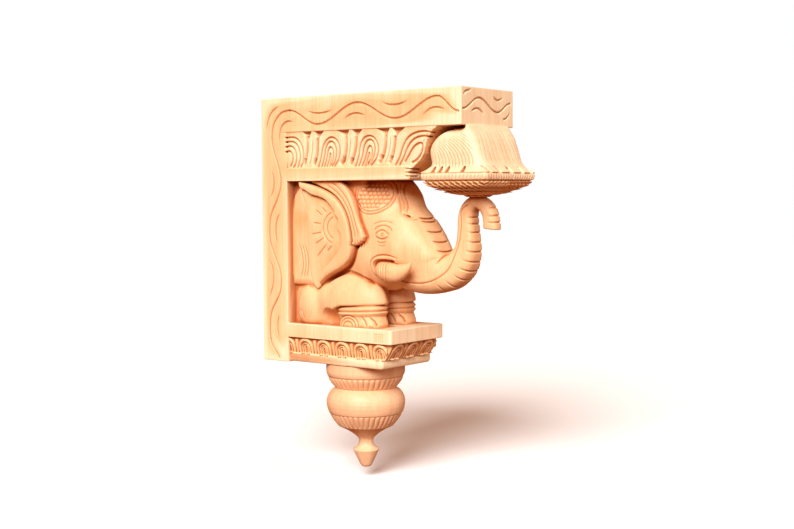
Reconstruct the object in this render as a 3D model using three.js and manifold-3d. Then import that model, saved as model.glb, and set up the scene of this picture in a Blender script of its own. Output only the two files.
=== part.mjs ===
// Carved elephant bracket: a corbel cut from one block of pale wood, with a turned pendant
// fixed under its ledge. Millimetres, +Z up. The origin is the middle of the back plate's
// rear face, on the wall plane y = 0, and the bracket reaches out along -Y. It is the same
// on both sides of x = 0.
//
// Every shape is drawn as (out, up, side): out is the distance from the wall, up is the
// height above the foot of the back plate, and side is x.

import * as THREE from 'three';
import { mergeVertices } from 'three/addons/utils/BufferGeometryUtils.js';
import Module from 'manifold-3d';

const wasm = await Module();
wasm.setup();

// Driving dimensions of the frame
const plateWidth = 88;
const plateHeight = 272;
const plateThickness = 35;
const beamLength = 254;
const beamThickness = 35.5;
const friezeHeight = 36.5;
const friezeRelief = 3;
const filletHeight = 13.5;
const filletLength = 158;

// Ledge that the elephant kneels on
const ledgeReach = 135;
const slabThickness = 14.5;
const slabCornerRadius = 3;
const mouldHeight = 16;
const sideSlope = 4;
const frontSlope = 10;
const lipHeight = 9.5;
const lipNose = 1.5;
const mouldInset = 0.4;
const ledgeRise = 0.5;

// Lotus boss under the end of the beam
const lotusHeight = 66;
const lotusReach = 76;
const lotusWidth = 87;
const lotusLipHeight = 7;
const lotusFootDepth = 14.5;
const lotusOverhang = 27;

// Turned pendant
const pendantDrop = 108;
const collarRadius = 40.7;
const pendantGap = 0.3;

// Carved lines
const grooveWidth = 1.8;
const grooveDepth = 1.1;

// Places that follow from the sizes above
const halfWidth = plateWidth / 2;
const beamFoot = plateHeight - beamThickness;
const friezeFoot = beamFoot - friezeHeight;
const filletFoot = friezeFoot - filletHeight;
const filletEnd = plateThickness + filletLength;
const ledgeEnd = plateThickness + ledgeReach;
const lipTop = ledgeRise + lipHeight;
const mouldTop = lipTop + mouldHeight;
const ledgeTop = mouldTop + slabThickness;
const lotusFoot = beamFoot - lotusHeight;
const lotusCentre = beamLength + lotusOverhang - lotusReach / 2;
const pendantAxis = plateThickness + ledgeReach / 2;

// The elephant is drawn at the size of one such bracket and fills the room between the
// plate, the ledge, the fillet and the foot of the lotus, whatever their sizes.
const drawnFace = 35;
const drawnFloor = 40.5;
const drawnRoof = 186.5;
const drawnHalfWidth = 44;
const drawnLotusCentre = 243;
const drawnLotusFoot = 170.5;
const reachScale = (lotusCentre - plateThickness) / (drawnLotusCentre - drawnFace);
const riseScale = (filletFoot - ledgeTop) / (drawnRoof - drawnFloor);
const sideScale = halfWidth / drawnHalfWidth;

function figure(out, up, side) {
  return new THREE.Vector3(
    side * sideScale,
    -(plateThickness + (out - drawnFace) * reachScale),
    ledgeTop + (up - drawnFloor) * riseScale,
  );
}

function plain(out, up, side) {
  return new THREE.Vector3(side, -out, up);
}

// Solids

function toSolid(geometry) {
  const bare = geometry.clone();
  bare.deleteAttribute('normal');
  bare.deleteAttribute('uv');
  const merged = mergeVertices(bare, 1e-5);
  const vertProperties = Float32Array.from(merged.attributes.position.array);
  const triVerts = Uint32Array.from(merged.index.array);
  return new wasm.Manifold(new wasm.Mesh({ numProp: 3, vertProperties, triVerts }));
}

function toGeometry(solid) {
  const mesh = solid.getMesh();
  const geometry = new THREE.BufferGeometry();
  geometry.setAttribute('position', new THREE.BufferAttribute(mesh.vertProperties, 3));
  geometry.setIndex(new THREE.BufferAttribute(mesh.triVerts, 1));
  geometry.computeVertexNormals();
  return geometry;
}

function joined(solids) {
  return solids.reduce((whole, solid) => whole.add(solid));
}

// A closed body from its points and triangles, turned to face out.
function body(points, triangles) {
  let volume = 0;
  for (const [a, b, c] of triangles) {
    volume += points[a].dot(new THREE.Vector3().crossVectors(points[b], points[c]));
  }
  const faces = volume < 0 ? triangles.map(([a, b, c]) => [a, c, b]) : triangles;
  const geometry = new THREE.BufferGeometry();
  geometry.setAttribute('position', new THREE.Float32BufferAttribute(points.flatMap((p) => p.toArray()), 3));
  geometry.setIndex(faces.flat());
  return toSolid(geometry);
}

// A body through a row of rings with equal numbers of points, closed by a fan at each end.
function loft(rings) {
  const count = rings[0].length;
  const points = rings.flat();
  const triangles = [];
  for (let i = 0; i + 1 < rings.length; i++) {
    for (let j = 0; j < count; j++) {
      const a = i * count + j;
      const b = i * count + (j + 1) % count;
      triangles.push([a, b, b + count], [a, b + count, a + count]);
    }
  }
  const first = points.length;
  const lastRing = (rings.length - 1) * count;
  for (const ring of [rings[0], rings[rings.length - 1]]) {
    const middle = ring.reduce((sum, p) => sum.add(p), new THREE.Vector3()).divideScalar(count);
    points.push(middle);
  }
  for (let j = 0; j < count; j++) {
    const next = (j + 1) % count;
    triangles.push([next, j, first], [lastRing + j, lastRing + next, first + 1]);
  }
  return body(points, triangles);
}

// A raised panel: an outline on a face, lifted from one height to another and drawn in at
// the top by the bevel. place(a, b, height) says where the face is.
function panel(place, outline, low, high, bevel = 0) {
  const contour = outline.map(([a, b]) => new THREE.Vector2(a, b));
  if (THREE.ShapeUtils.isClockWise(contour)) {
    contour.reverse();
  }
  const count = contour.length;
  const inner = contour.map((p, i) => {
    const before = contour[(i + count - 1) % count];
    const after = contour[(i + 1) % count];
    const run = after.clone().sub(before).normalize();
    return new THREE.Vector2(p.x - run.y * bevel, p.y + run.x * bevel);
  });
  const points = [
    ...contour.map((p) => place(p.x, p.y, low)),
    ...inner.map((p) => place(p.x, p.y, high)),
  ];
  const triangles = [];
  for (let i = 0; i < count; i++) {
    const next = (i + 1) % count;
    triangles.push([i, next, count + next], [i, count + next, count + i]);
  }
  for (const [a, b, c] of THREE.ShapeUtils.triangulateShape(contour, [])) {
    triangles.push([a, c, b], [count + a, count + b, count + c]);
  }
  return body(points, triangles);
}

// A V-shaped groove along a path on a face, to be cut away.
function groove(place, path, width = grooveWidth, depth = grooveDepth) {
  const rings = path.map(([a, b], i) => {
    const [beforeA, beforeB] = path[Math.max(i - 1, 0)];
    const [afterA, afterB] = path[Math.min(i + 1, path.length - 1)];
    const run = Math.hypot(afterA - beforeA, afterB - beforeB);
    const acrossA = -(afterB - beforeB) / run * width;
    const acrossB = (afterA - beforeA) / run * width;
    return [
      place(a + acrossA, b + acrossB, depth),
      place(a - acrossA, b - acrossB, depth),
      place(a, b, -depth),
    ];
  });
  return loft(rings);
}

// A raised bead of diamond section along a path on a face.
function ridge(place, path, width, height) {
  const rings = path.map(([a, b], i) => {
    const [beforeA, beforeB] = path[Math.max(i - 1, 0)];
    const [afterA, afterB] = path[Math.min(i + 1, path.length - 1)];
    const run = Math.hypot(afterA - beforeA, afterB - beforeB);
    const acrossA = -(afterB - beforeB) / run * width / 2;
    const acrossB = (afterA - beforeA) / run * width / 2;
    return [
      place(a + acrossA, b + acrossB, 0),
      place(a, b, height),
      place(a - acrossA, b - acrossB, 0),
      place(a, b, -height),
    ];
  });
  return loft(rings);
}

// A rounded body: rings of latitude about the side axis, in the elephant's drawn space.
function ball(centre, radii, columns = 12, rows = 8, turn = 0) {
  const [out, up, side] = centre;
  const [radiusOut, radiusUp, radiusSide] = radii;
  const rings = [];
  for (let i = 0; i <= rows; i++) {
    const tilt = Math.PI * (0.04 + 0.92 * i / rows) - Math.PI / 2;
    rings.push(ringAt(columns, (angle) => {
      const a = radiusOut * Math.cos(tilt) * Math.cos(angle);
      const b = radiusUp * Math.cos(tilt) * Math.sin(angle);
      return figure(
        out + a * Math.cos(turn) - b * Math.sin(turn),
        up + a * Math.sin(turn) + b * Math.cos(turn),
        side + radiusSide * Math.sin(tilt),
      );
    }));
  }
  return loft(rings);
}

function ringAt(count, pointAt) {
  return Array.from({ length: count }, (_, i) => pointAt(2 * Math.PI * i / count));
}

// Cosine and sine of a superellipse, squarer as the power grows.
function squareRound(angle, power) {
  const c = Math.cos(angle);
  const s = Math.sin(angle);
  return [Math.sign(c) * Math.abs(c) ** (2 / power), Math.sign(s) * Math.abs(s) ** (2 / power)];
}

function smooth(points, count) {
  const curve = new THREE.SplineCurve(points.map(([a, b]) => new THREE.Vector2(a, b)));
  return curve.getPoints(count).map((p) => [p.x, p.y]);
}

function mix(a, b, t) {
  return a + (b - a) * t;
}

// Value at x of straight lines through a short table of [x, value].
function between(table, x) {
  let i = 0;
  while (i < table.length - 2 && x > table[i + 1][0]) {
    i++;
  }
  const [x0, v0] = table[i];
  const [x1, v1] = table[i + 1];
  return mix(v0, v1, THREE.MathUtils.clamp((x - x0) / (x1 - x0), 0, 1));
}

// Faces of the frame, as place(a, b, height)
const sideFace = (side) => (out, up, height) => plain(out, up, side * (halfWidth + height));
const endFace = (across, up, height) => plain(beamLength + height, up, across);

// Waving line through its crests and hollows [along, across], with a short echo in each.
const waveSteps = 3;
const echoShift = 10.5;
const echoHalfLength = 16;
const echoBow = 4.5;

function waveThrough(turns) {
  const path = [];
  for (let i = 0; i + 1 < turns.length; i++) {
    for (let j = 0; j < waveSteps; j++) {
      const t = j / waveSteps;
      const ease = (1 - Math.cos(Math.PI * t)) / 2;
      path.push([mix(turns[i][0], turns[i + 1][0], t), mix(turns[i][1], turns[i + 1][1], ease)]);
    }
  }
  path.push(turns[turns.length - 1]);
  return path;
}

function echoes(turns, halfLength = echoHalfLength) {
  const strokes = [];
  for (let i = 1; i + 1 < turns.length; i++) {
    const [along, across] = turns[i];
    const inward = Math.sign(turns[i + 1][1] - across);
    const top = across + inward * echoShift;
    const ends = top + inward * echoBow;
    strokes.push(smooth([[along - halfLength, ends], [along, top], [along + halfLength, ends]], 2));
  }
  return strokes;
}

const swapped = (path) => path.map(([a, b]) => [b, a]);

// Crests and hollows of the three waving lines, from the wall, the plate's foot or x = 0.
const waveInset = 10;
const beamWave = [
  [39, plateHeight - 13], [78, beamFoot + 7], [129, plateHeight - 9.5], [177, beamFoot + 8.5],
  [226, plateHeight - 8], [beamLength - 4, plateHeight - 22],
];
const plateWave = [
  [plateHeight - 44, 14.5], [plateHeight - 82, plateThickness - 8], [137, waveInset],
  [85, plateThickness - 9], [33, waveInset - 1], [5, 20],
];
const endWave = [
  [-halfWidth + 4, beamFoot + 15.5], [-14, plateHeight - 9.5],
  [17, beamFoot + 13.5], [halfWidth - 6, plateHeight - 13],
];
const cornerBend = [plateWave[0].toReversed(), [16, plateHeight - 30], [24, plateHeight - 18], beamWave[0]];
const cornerEchoes = [
  [[28, plateHeight - 8], [12, plateHeight - 17], [6.5, plateHeight - 34]],
  [[48, plateHeight - 26], [30, plateHeight - 31], [25.5, plateHeight - 48]],
];

function frameGrooves() {
  const cuts = [];
  for (const side of [-1, 1]) {
    const face = sideFace(side);
    const lines = [
      waveThrough(beamWave),
      ...echoes(beamWave),
      ...[waveThrough(plateWave), ...echoes(plateWave)].map(swapped),
      smooth(cornerBend, 4),
      ...cornerEchoes.map((line) => smooth(line, 3)),
    ];
    cuts.push(...lines.map((line) => groove(face, line)));
  }
  for (const line of [waveThrough(endWave), ...echoes(endWave, 11)]) {
    cuts.push(groove(endFace, line));
  }
  return cuts;
}

function frameBlock() {
  const outline = [
    [0, 0], [plateThickness, 0], [plateThickness, beamFoot], [beamLength, beamFoot],
    [beamLength, plateHeight], [0, plateHeight],
  ];
  return panel((out, up, side) => plain(out, up, side), outline, -halfWidth, halfWidth);
}

// Frieze of lotus petals under the beam
const petalPitch = 52;
const petalHalfWidth = 17;
const petalRing = 4.4;
const firstPetal = 41;
const petalHollow = 1.6;

// Outline of one arched petal, drawn in by some rings, open at its foot.
function petalArch(centre, lean, rings, steps) {
  const half = petalHalfWidth - rings * petalRing;
  const top = friezeHeight - 0.5 - rings * petalRing * 1.15;
  const shoulder = friezeHeight * 0.45;
  const arch = [];
  for (let i = 0; i <= steps; i++) {
    const angle = Math.PI * (1 - i / steps);
    const up = shoulder + Math.sin(angle) * (top - shoulder);
    arch.push([half * Math.cos(angle), up]);
  }
  const foot = 1.2;
  const points = [[-half * 0.72, foot], ...arch, [half * 0.72, foot]];
  return points.map(([across, up]) => [centre + across + lean * (up - shoulder), friezeFoot + up]);
}

function leafBetween(centre, lean) {
  const points = [[-6, 1], [-6, 18], [0, friezeHeight - 1], [5.5, 18], [3.5, 1]];
  return points.map(([across, up]) => [centre + across + lean * (up - friezeHeight), friezeFoot + up]);
}

function friezeBlock() {
  const endProfile = [
    [filletEnd, filletFoot], [filletEnd + 1, filletFoot + 5], [filletEnd - 1, filletFoot + 7],
    [filletEnd + 1, friezeFoot], [filletEnd + 11, friezeFoot + 4], [filletEnd + 17, friezeFoot + 11],
    [filletEnd + 19, friezeFoot + 18], [filletEnd + 24, friezeFoot + 28], [filletEnd + 34, beamFoot + 1],
  ];
  const inside = plateThickness - 2;
  const core = panel((out, up, side) => plain(out, up, side),
    [[inside, beamFoot + 1], [inside, filletFoot], ...endProfile],
    -halfWidth + friezeRelief, halfWidth - friezeRelief);
  const fillet = panel((out, up, side) => plain(out, up, side),
    [[inside, friezeFoot], [inside, filletFoot], ...endProfile.slice(0, 4)], -halfWidth, halfWidth);
  const petals = [];
  const tongues = [];
  const cuts = [];
  for (const side of [-1, 1]) {
    const face = sideFace(side);
    const bound = (outline) => outline.map(([out, up]) => [Math.max(out, inside + 1), up]);
    for (let i = 0; i < 4; i++) {
      const centre = firstPetal + i * petalPitch;
      const lean = 0.05 + 0.11 * i;
      const arch = (ring, steps) => bound(petalArch(centre, lean, ring, steps));
      petals.push(panel(face, arch(0, 6), -friezeRelief - 1, -0.02, 0.8));
      cuts.push(panel(face, arch(1, 4), -petalHollow, 1));
      tongues.push(panel(face, arch(2, 4), -friezeRelief - 1, -0.4, 0.6));
      if (i > 0) {
        const tip = centre - petalPitch / 2 + 3;
        petals.push(panel(face, leafBetween(tip, lean), -friezeRelief - 1, -1, 0.6));
      }
    }
  }
  return joined([joined(petals).subtract(joined(cuts)), core, fillet, ...tongues]);
}

// Lotus boss: a squarish bell, its lip, and a low woven foot that meets the trunk
const lotusLobes = 12;
const lotusColumns = 3 * lotusLobes;
const lipPower = 12;
const neckPower = 5;
// Height above the lip, and the reach to the front, back and side, all as shares
const bellProfile = [
  [0, 1, 1, 1], [0.1, 0.86, 0.79, 0.93], [0.36, 0.65, 0.72, 0.91], [0.62, 0.55, 0.71, 0.92],
  [0.82, 0.46, 0.5, 0.89], [1, 0.34, 0.2, 0.8],
];

function lotusRing(up, [front, back, across], power, ripple = 0) {
  return ringAt(lotusColumns, (angle) => {
    const [c, s] = squareRound(angle, power);
    const lobe = 1 + ripple * (Math.abs(Math.cos(lotusLobes * angle / 2)) - 0.5);
    const reach = (c > 0 ? front : back) * lotusReach / 2;
    return plain(lotusCentre + lobe * reach * c, up, across * lobe * lotusWidth / 2 * s);
  });
}

function lotusBoss() {
  const lipFoot = lotusFoot + lotusFootDepth;
  const lipTopEdge = lipFoot + lotusLipHeight;
  const bellHeight = beamFoot - lipTopEdge;
  const footRing = (share, scale, power, ripple) => (
    lotusRing(mix(lotusFoot, lipFoot, share), [scale, scale, scale], power, ripple)
  );
  const rings = [
    footRing(0, 0.16, 2.5),
    footRing(0.12, 0.34, 3),
    footRing(0.45, 0.66, 6, 0.04),
    footRing(0.8, 0.89, 9, -0.04),
    lotusRing(mix(lipFoot, lipTopEdge, 0.4), [1, 1, 1], lipPower),
  ];
  for (const [height, ...reach] of bellProfile) {
    const ripple = height < 0.25 ? 0.05 * (0.25 - height) / 0.25 : 0;
    rings.push(lotusRing(lipTopEdge + height * bellHeight, reach, mix(lipPower, neckPower, height), ripple));
  }
  rings.push(lotusRing(beamFoot + 1, bellProfile.at(-1).slice(1), neckPower));
  return loft(rings);
}

// Draped petals on the bell: arcs about the middle of each side, as grooves.
function lotusGrooves() {
  const lipTopEdge = lotusFoot + lotusFootDepth + lotusLipHeight;
  const bellHeight = beamFoot - lipTopEdge;
  const cuts = [];
  for (const side of [-1, 1]) {
    const face = (out, up, height) => {
      const share = (column) => (
        between(bellProfile.map((row) => [row[0], row[column]]), (up - lipTopEdge) / bellHeight)
      );
      const reach = share(out > lotusCentre ? 1 : 2) * lotusReach / 2;
      const across = Math.abs(out - lotusCentre) / reach;
      const bulge = (1 - Math.min(across, 0.98) ** 5) ** 0.2;
      return plain(out, up, side * (share(3) * lotusWidth / 2 * bulge + height));
    };
    for (let i = 0; i < 2; i++) {
      const radius = 14 + 9 * i;
      const path = [];
      for (let j = 0; j <= 3; j++) {
        const angle = mix(-0.15, 1.35, j / 3);
        path.push([lotusCentre - 12 + radius * Math.cos(angle), lipTopEdge + 9 + radius * Math.sin(angle)]);
      }
      cuts.push(groove(face, path.filter(([, up]) => up < beamFoot - 1), 1.6, 1.1));
    }
  }
  return cuts;
}

// Ledge: slab, sloping moulding of small arches, and a beaked lip
const archPitch = 24.5;
const firstArch = 17;
const archHalfWidth = 8;
const archRelief = 2;

// How far the moulding stands back from the slab's side and front at a height.
function insetAt(up, slope) {
  return mouldInset + slope * THREE.MathUtils.clamp((mouldTop - up) / mouldHeight, 0, 1);
}

function ledgeRect(up, more) {
  const half = halfWidth - insetAt(up, sideSlope) - more;
  const end = ledgeEnd - insetAt(up, frontSlope) - more;
  const inside = plateThickness - 2;
  return [plain(inside, up, -half), plain(end, up, -half), plain(end, up, half), plain(inside, up, half)];
}

function smallArch(centre) {
  const points = [[-archHalfWidth, 0.5]];
  for (let i = 0; i <= 3; i++) {
    const angle = Math.PI * (1 - i / 3);
    points.push([archHalfWidth * Math.cos(angle), mouldHeight * 0.55 + Math.sin(angle) * mouldHeight * 0.42]);
  }
  points.push([archHalfWidth, 0.5]);
  return points.map(([across, up]) => [centre + across, lipTop + up]);
}

function smallPocket(centre) {
  return [[-3.8, 1], [0, 11.5], [3.8, 1]].map(([a, up]) => [centre + a, lipTop + up]);
}

function ledge() {
  const slabShape = new THREE.Shape();
  const radius = slabCornerRadius;
  slabShape.moveTo(plateThickness - 2, -halfWidth);
  slabShape.lineTo(ledgeEnd - radius, -halfWidth);
  slabShape.absarc(ledgeEnd - radius, -halfWidth + radius, radius, -Math.PI / 2, 0);
  slabShape.absarc(ledgeEnd - radius, halfWidth - radius, radius, 0, Math.PI / 2);
  slabShape.lineTo(plateThickness - 2, halfWidth);
  const slabOutline = slabShape.getPoints(2).map((p) => [p.x, p.y]);
  const slab = panel((out, side, height) => plain(out, height, side), slabOutline, mouldTop, ledgeTop);
  const moulding = loft([
    ledgeRect(ledgeRise, lipNose),
    ledgeRect(ledgeRise + lipHeight * 0.45, -lipNose),
    ledgeRect(lipTop, 0),
    ledgeRect(lipTop + 0.5, archRelief),
    ledgeRect(mouldTop + 0.5, archRelief),
  ]);
  const solids = [slab, moulding];
  const cuts = [];
  const sides = [-1, 1].map((side) => (out, up, height) => (
    plain(out, up, side * (halfWidth - archRelief - insetAt(up, sideSlope) + height))
  ));
  const front = (across, up, height) => (
    plain(ledgeEnd - archRelief - insetAt(up, frontSlope) + height, up, across)
  );
  const sideCentres = Array.from({ length: 5 }, (_, i) => ledgeEnd - firstArch - i * archPitch);
  const frontCentres = [-archPitch, 0, archPitch];
  for (const [face, centres] of [[sides[0], sideCentres], [sides[1], sideCentres], [front, frontCentres]]) {
    for (const centre of centres) {
      solids.push(panel(face, smallArch(centre), -2, archRelief, 0.8));
      cuts.push(panel(face, smallPocket(centre), 0.2, archRelief + 3, -1));
      const tongue = centre - archPitch / 2;
      const inner = [[tongue - 2.8, 1], [tongue, 15], [tongue + 2.8, 1]];
      const outline = inner.map(([a, up]) => [a, lipTop + up]);
      if (face !== front || tongue > -archPitch) {
        solids.push(panel(face, outline, -2, archRelief - 0.6, 0.6));
      }
    }
  }
  return { solids, cuts };
}

// Elephant, in its drawn space

// Trunk stations: middle out and up, half thickness, half width, squareness
const trunkStations = [
  [128, 134, 42, 34, 2.6], [148, 126, 41, 34, 2.6], [164, 115.5, 36, 32, 2.6], [178, 105, 30, 28, 2.6],
  [190.5, 97.5, 23, 23, 2.6], [203, 94.5, 17.8, 19, 2.6], [214, 97, 16.6, 16.5, 2.8],
  [224.5, 105, 14.8, 14.5, 3], [231, 118, 11.8, 11.8, 3.2], [232, 134, 9.8, 10, 3.2],
  [231.5, 148, 8.8, 9.2, 3.2], [233, 157, 7.8, 8.9, 3], [238, 163, 7, 8.6, 2.8],
  [244, 164.6, 6.4, 8.4, 2.8], [250.5, 162, 6.5, 8, 2.8], [256, 155.5, 7, 7.7, 2.8],
  [258.2, 147.5, 7.4, 7.5, 2.8], [258.7, 139, 7.9, 7.4, 2.8],
];
const trunkColumns = 10;

// The upper trunk follows the foot of the lotus, which it touches.
const trunkRise = (lotusFoot - figure(0, drawnLotusFoot, 0).z) / (drawnLotusFoot - 75);

function trunkPoint(out, up, side) {
  const point = figure(out, up, side);
  point.z += Math.max(up - 75, 0) * trunkRise;
  return point;
}

function trunkFrame(i) {
  const [beforeOut, beforeUp] = trunkStations[Math.max(i - 1, 0)];
  const [afterOut, afterUp] = trunkStations[Math.min(i + 1, trunkStations.length - 1)];
  const run = Math.hypot(afterOut - beforeOut, afterUp - beforeUp);
  return [-(afterUp - beforeUp) / run, (afterOut - beforeOut) / run];
}

function trunk() {
  const rings = trunkStations.map(([out, up, thick, wide, power], i) => {
    const [normalOut, normalUp] = trunkFrame(i);
    return ringAt(trunkColumns, (angle) => {
      const [c, s] = squareRound(angle + Math.PI / trunkColumns, power);
      return trunkPoint(out + normalOut * thick * s, up + normalUp * thick * s, wide * c);
    });
  });
  return loft(rings);
}

// A crease across the trunk at a fractional station, on its upper or its lower face.
const creaseDepth = 1.4;
const creaseHalfWidth = 1.1;

function crease(place, upper) {
  const i = Math.floor(place);
  const at = (k) => mix(trunkStations[i][k], trunkStations[i + 1][k], place - i);
  const [normalOut, normalUp] = trunkFrame(i);
  const sign = upper ? 1 : -1;
  const rings = [-1, 0, 1].map((across) => {
    const reach = sign * at(2) * (1 - 0.16 * Math.abs(across));
    const point = (rise, along) => trunkPoint(
      at(0) + normalOut * (reach + sign * rise) + normalUp * along,
      at(1) + normalUp * (reach + sign * rise) - normalOut * along,
      across * at(3) * 0.85,
    );
    return [point(2, creaseHalfWidth), point(2, -creaseHalfWidth), point(-creaseDepth, 0)];
  });
  return loft(rings);
}

function trunkCreases() {
  const upper = [1.9, 2.4, 2.9, 3.4, 3.9].map((place) => crease(place, true));
  const lower = [5.5, 6.3, 7.1, 7.9, 8.7, 9.5, 10.3].map((place) => crease(place, false));
  return [...upper, ...lower];
}

const earTip = [50, 186];
const earBack = [[53, 175], [60.5, 159], [62.5, 140], [62, 118], [65, 92], [69, 81], [74, 77]];
const earFront = [
  [82, 83], [95, 95.5], [108, 104], [117, 112.5], [120, 126], [118.5, 146], [110, 163], [96, 176], [76, 182],
];
const earInner = [
  [88, 90], [98, 103], [105, 115], [105, 132], [101, 142], [101, 152], [92, 164], [76, 171], [57, 177.5],
];
const strapFront = [[76, 184], [104, 186], [118, 178], [130, 162], [137, 145], [141, 131]];
const strapFoot = [[138, 127], [132, 123.5], [124, 122], [117, 124]];

function earAndStrap(side) {
  const face = (out, up, height) => figure(out, up, side * height);
  const solids = [
    panel(face, [earTip, ...earBack, ...earFront], 28, 40.5, 0.8),
    panel(face, [...earFront, [60, 184], earTip, ...earInner.toReversed(), [75, 80]], 39, 42.8, 1),
    panel(face, [...strapFront, ...strapFoot, [104, 126], [90, 160]], 26, 39.2, 1.2),
    ridge((out, up, height) => face(out, up, 40.5 + height), arc([100, 141], 16, 1.75, 4.5, 5), 3, 1.2),
  ];
  const dish = (out, up, height) => face(out, up, 40.5 + height);
  const cuts = [];
  for (let i = 0; i < 5; i++) {
    const angle = 2.2 + 0.5 * i;
    const reach = i > 2 ? 36 : 28;
    const ray = [18, reach].map((r) => [100 + r * Math.cos(angle), 141 + r * Math.sin(angle)]);
    cuts.push(groove(dish, ray, 1.4, 1));
  }
  const strapFace = (out, up, height) => face(out, up, 39.2 + height);
  cuts.push(groove(strapFace, smooth(strapFront.slice(2).map(([out, up]) => [out - 8, up - 2]), 4), 1.4, 0.9));
  for (let i = 0; i < 3; i++) {
    cuts.push(groove(strapFace, [[122 + 5 * i, 121 + i], [122 + 5.6 * i, 130 + i * 0.6]], 1.4, 1.4));
  }
  return { solids, cuts };
}

function arc([out, up], radius, from, to, steps) {
  return Array.from({ length: steps + 1 }, (_, i) => {
    const angle = mix(from, to, i / steps);
    return [out + radius * Math.cos(angle), up + radius * Math.sin(angle)];
  });
}

// Domed cap of beads on the brow, with its rolled rim
const capCentre = [141, 169];
const capRadius = [21, 15.5, 13];
const capSide = 24;
const capRows = 6;
const capBeads = 7;
const beadHeight = 1.6;

function cap(side) {
  const columns = 2 * capBeads;
  const rings = [];
  for (let row = 0; row <= capRows; row++) {
    const tilt = Math.PI / 2 * (row / capRows * 0.94 + 0.02);
    rings.push(ringAt(columns, (angle) => {
      const column = Math.round(angle / (2 * Math.PI) * columns);
      const bead = row % 2 === 1 && column % 2 === 0 ? beadHeight : 0;
      const spread = Math.sin(tilt);
      return figure(
        capCentre[0] + (capRadius[0] + bead) * spread * Math.cos(angle),
        capCentre[1] + (capRadius[1] + bead) * spread * Math.sin(angle),
        side * (capSide + (capRadius[2] + bead) * Math.cos(tilt)),
      );
    }));
  }
  const surface = (out, up, height) => figure(out, up, side * (capSide + capRadius[2] * 0.45 + height));
  const rim = arc([0, 0], 1, -2.9, -0.25, 6).map(([c, s]) => (
    [capCentre[0] + capRadius[0] * 0.92 * c, capCentre[1] + capRadius[1] * 0.92 * s]
  ));
  return [loft(rings), ridge(surface, rim, 4, 2.6)];
}

// Tusk out of its lip, curving forward and up
const tuskLine = [
  [145, 99, 32, 7], [151, 98.2, 34.5, 8.4], [157, 97.2, 35.8, 9.2], [159.5, 97, 36, 8.7],
  [163, 96.4, 36, 9.5], [172, 96.2, 35.8, 8.6], [179, 98.4, 35.4, 6.8], [185, 101.6, 34.8, 4.2],
  [190, 106.6, 34, 1],
];

function tusk(side) {
  const rings = tuskLine.map(([out, up, across, radius], i) => {
    const [nextOut, nextUp] = tuskLine[Math.min(i + 1, tuskLine.length - 1)];
    const [lastOut, lastUp] = tuskLine[Math.max(i - 1, 0)];
    const run = Math.hypot(nextOut - lastOut, nextUp - lastUp);
    const normalOut = -(nextUp - lastUp) / run;
    const normalUp = (nextOut - lastOut) / run;
    return ringAt(6, (angle) => figure(
      out + normalOut * radius * Math.sin(angle),
      up + normalUp * radius * Math.sin(angle),
      side * (across + radius * 0.8 * Math.cos(angle)),
    ));
  });
  return loft(rings);
}

function eye(side) {
  const face = (out, up, height) => figure(out, up, side * height);
  const lens = [[142, 134], [147, 138], [152, 138.5], [158, 135], [153, 131.5], [147, 130.5]];
  return panel(face, lens, 30, 38.6, 1.6);
}

function faceLines(side) {
  const face = (out, up, height) => figure(out, up, side * (36.8 + height));
  const lines = [
    arc([150, 135], 12, 2.6, 0.7, 3), arc([150, 136], 10, 3.9, 5.4, 2),
  ];
  return lines.map((line) => groove(face, line, 1.4, 1.6));
}

function lipRing(side) {
  const face = (out, up, height) => figure(out, up, side * (35.5 + height));
  const lip = [[172, 107.5], [160, 111.5], [148, 111.5], [140, 106], [138, 98], [142, 89]];
  return ridge(face, smooth(lip, 7), 5, 3.4);
}

// Folded foreleg: knee, two anklets and a foot with rolled toes; haunch behind it
const legSide = 23;

function ovalRing(out, up, side, radiusOut, radiusSide, tilt) {
  return ringAt(10, (angle) => figure(
    out + radiusOut * Math.cos(angle),
    up + tilt * Math.cos(angle),
    side + radiusSide * Math.sin(angle),
  ));
}

function leg(side) {
  const at = side * legSide;
  const shank = [
    [40, 28.5, 17, 0], [52, 25, 16, 1.5], [54, 27, 17.5, 1.5], [56, 25.5, 16.2, 1.5],
    [58, 27, 17.5, 1.5], [61, 25, 15, 1.5],
  ];
  const solids = [
    ball([105, 62, side * 23], [43, 32.5, 20], 10, 6),
    loft(shank.map(([up, radiusOut, radiusSide, tilt]) => ovalRing(118, up, at, radiusOut, radiusSide, tilt))),
    ball([58, 58, side * 22], [21, 27, 20.5], 8, 5),
    ball([82, 68, side * 22], [22, 20, 18], 8, 5),
  ];
  solids.push(ball([112, 44.5, side * (legSide + 12)], [10, 5.5, 6], 6, 4));
  return solids;
}

function elephant() {
  const solids = [
    panel((out, up, side) => figure(out, up, side),
      [[33, 38], [112, 38], [128, 60], [128, 189], [33, 189]], -31, 31),
    ball([128, 142, 0], [44, 50, 37], 12, 8),
    ball([138, 109, 0], [30, 33, 36], 10, 6),
    ball([144, 168, 0], [25, 27, 22], 10, 6),
    trunk(),
  ];
  const cuts = [...trunkCreases()];
  const neck = [[46, 184], [41, 160], [39, 130], [40, 100], [44, 80], [66, 80], [66, 150], [52, 178]];
  for (const side of [-1, 1]) {
    const flank = (out, up, height) => figure(out, up, side * height);
    const ears = earAndStrap(side);
    solids.push(panel(flank, neck, 28, 34, 2));
    solids.push(...ears.solids, ...cap(side), ...leg(side), tusk(side), lipRing(side), eye(side));
    cuts.push(...ears.cuts, ...faceLines(side));
    const fold = smooth([[54, 130], [58, 108], [53, 88]], 3);
    cuts.push(groove((out, up, height) => flank(out, up, 34 + height), fold, 1.4, 1.2));
  }
  return { solids, cuts };
}

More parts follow.
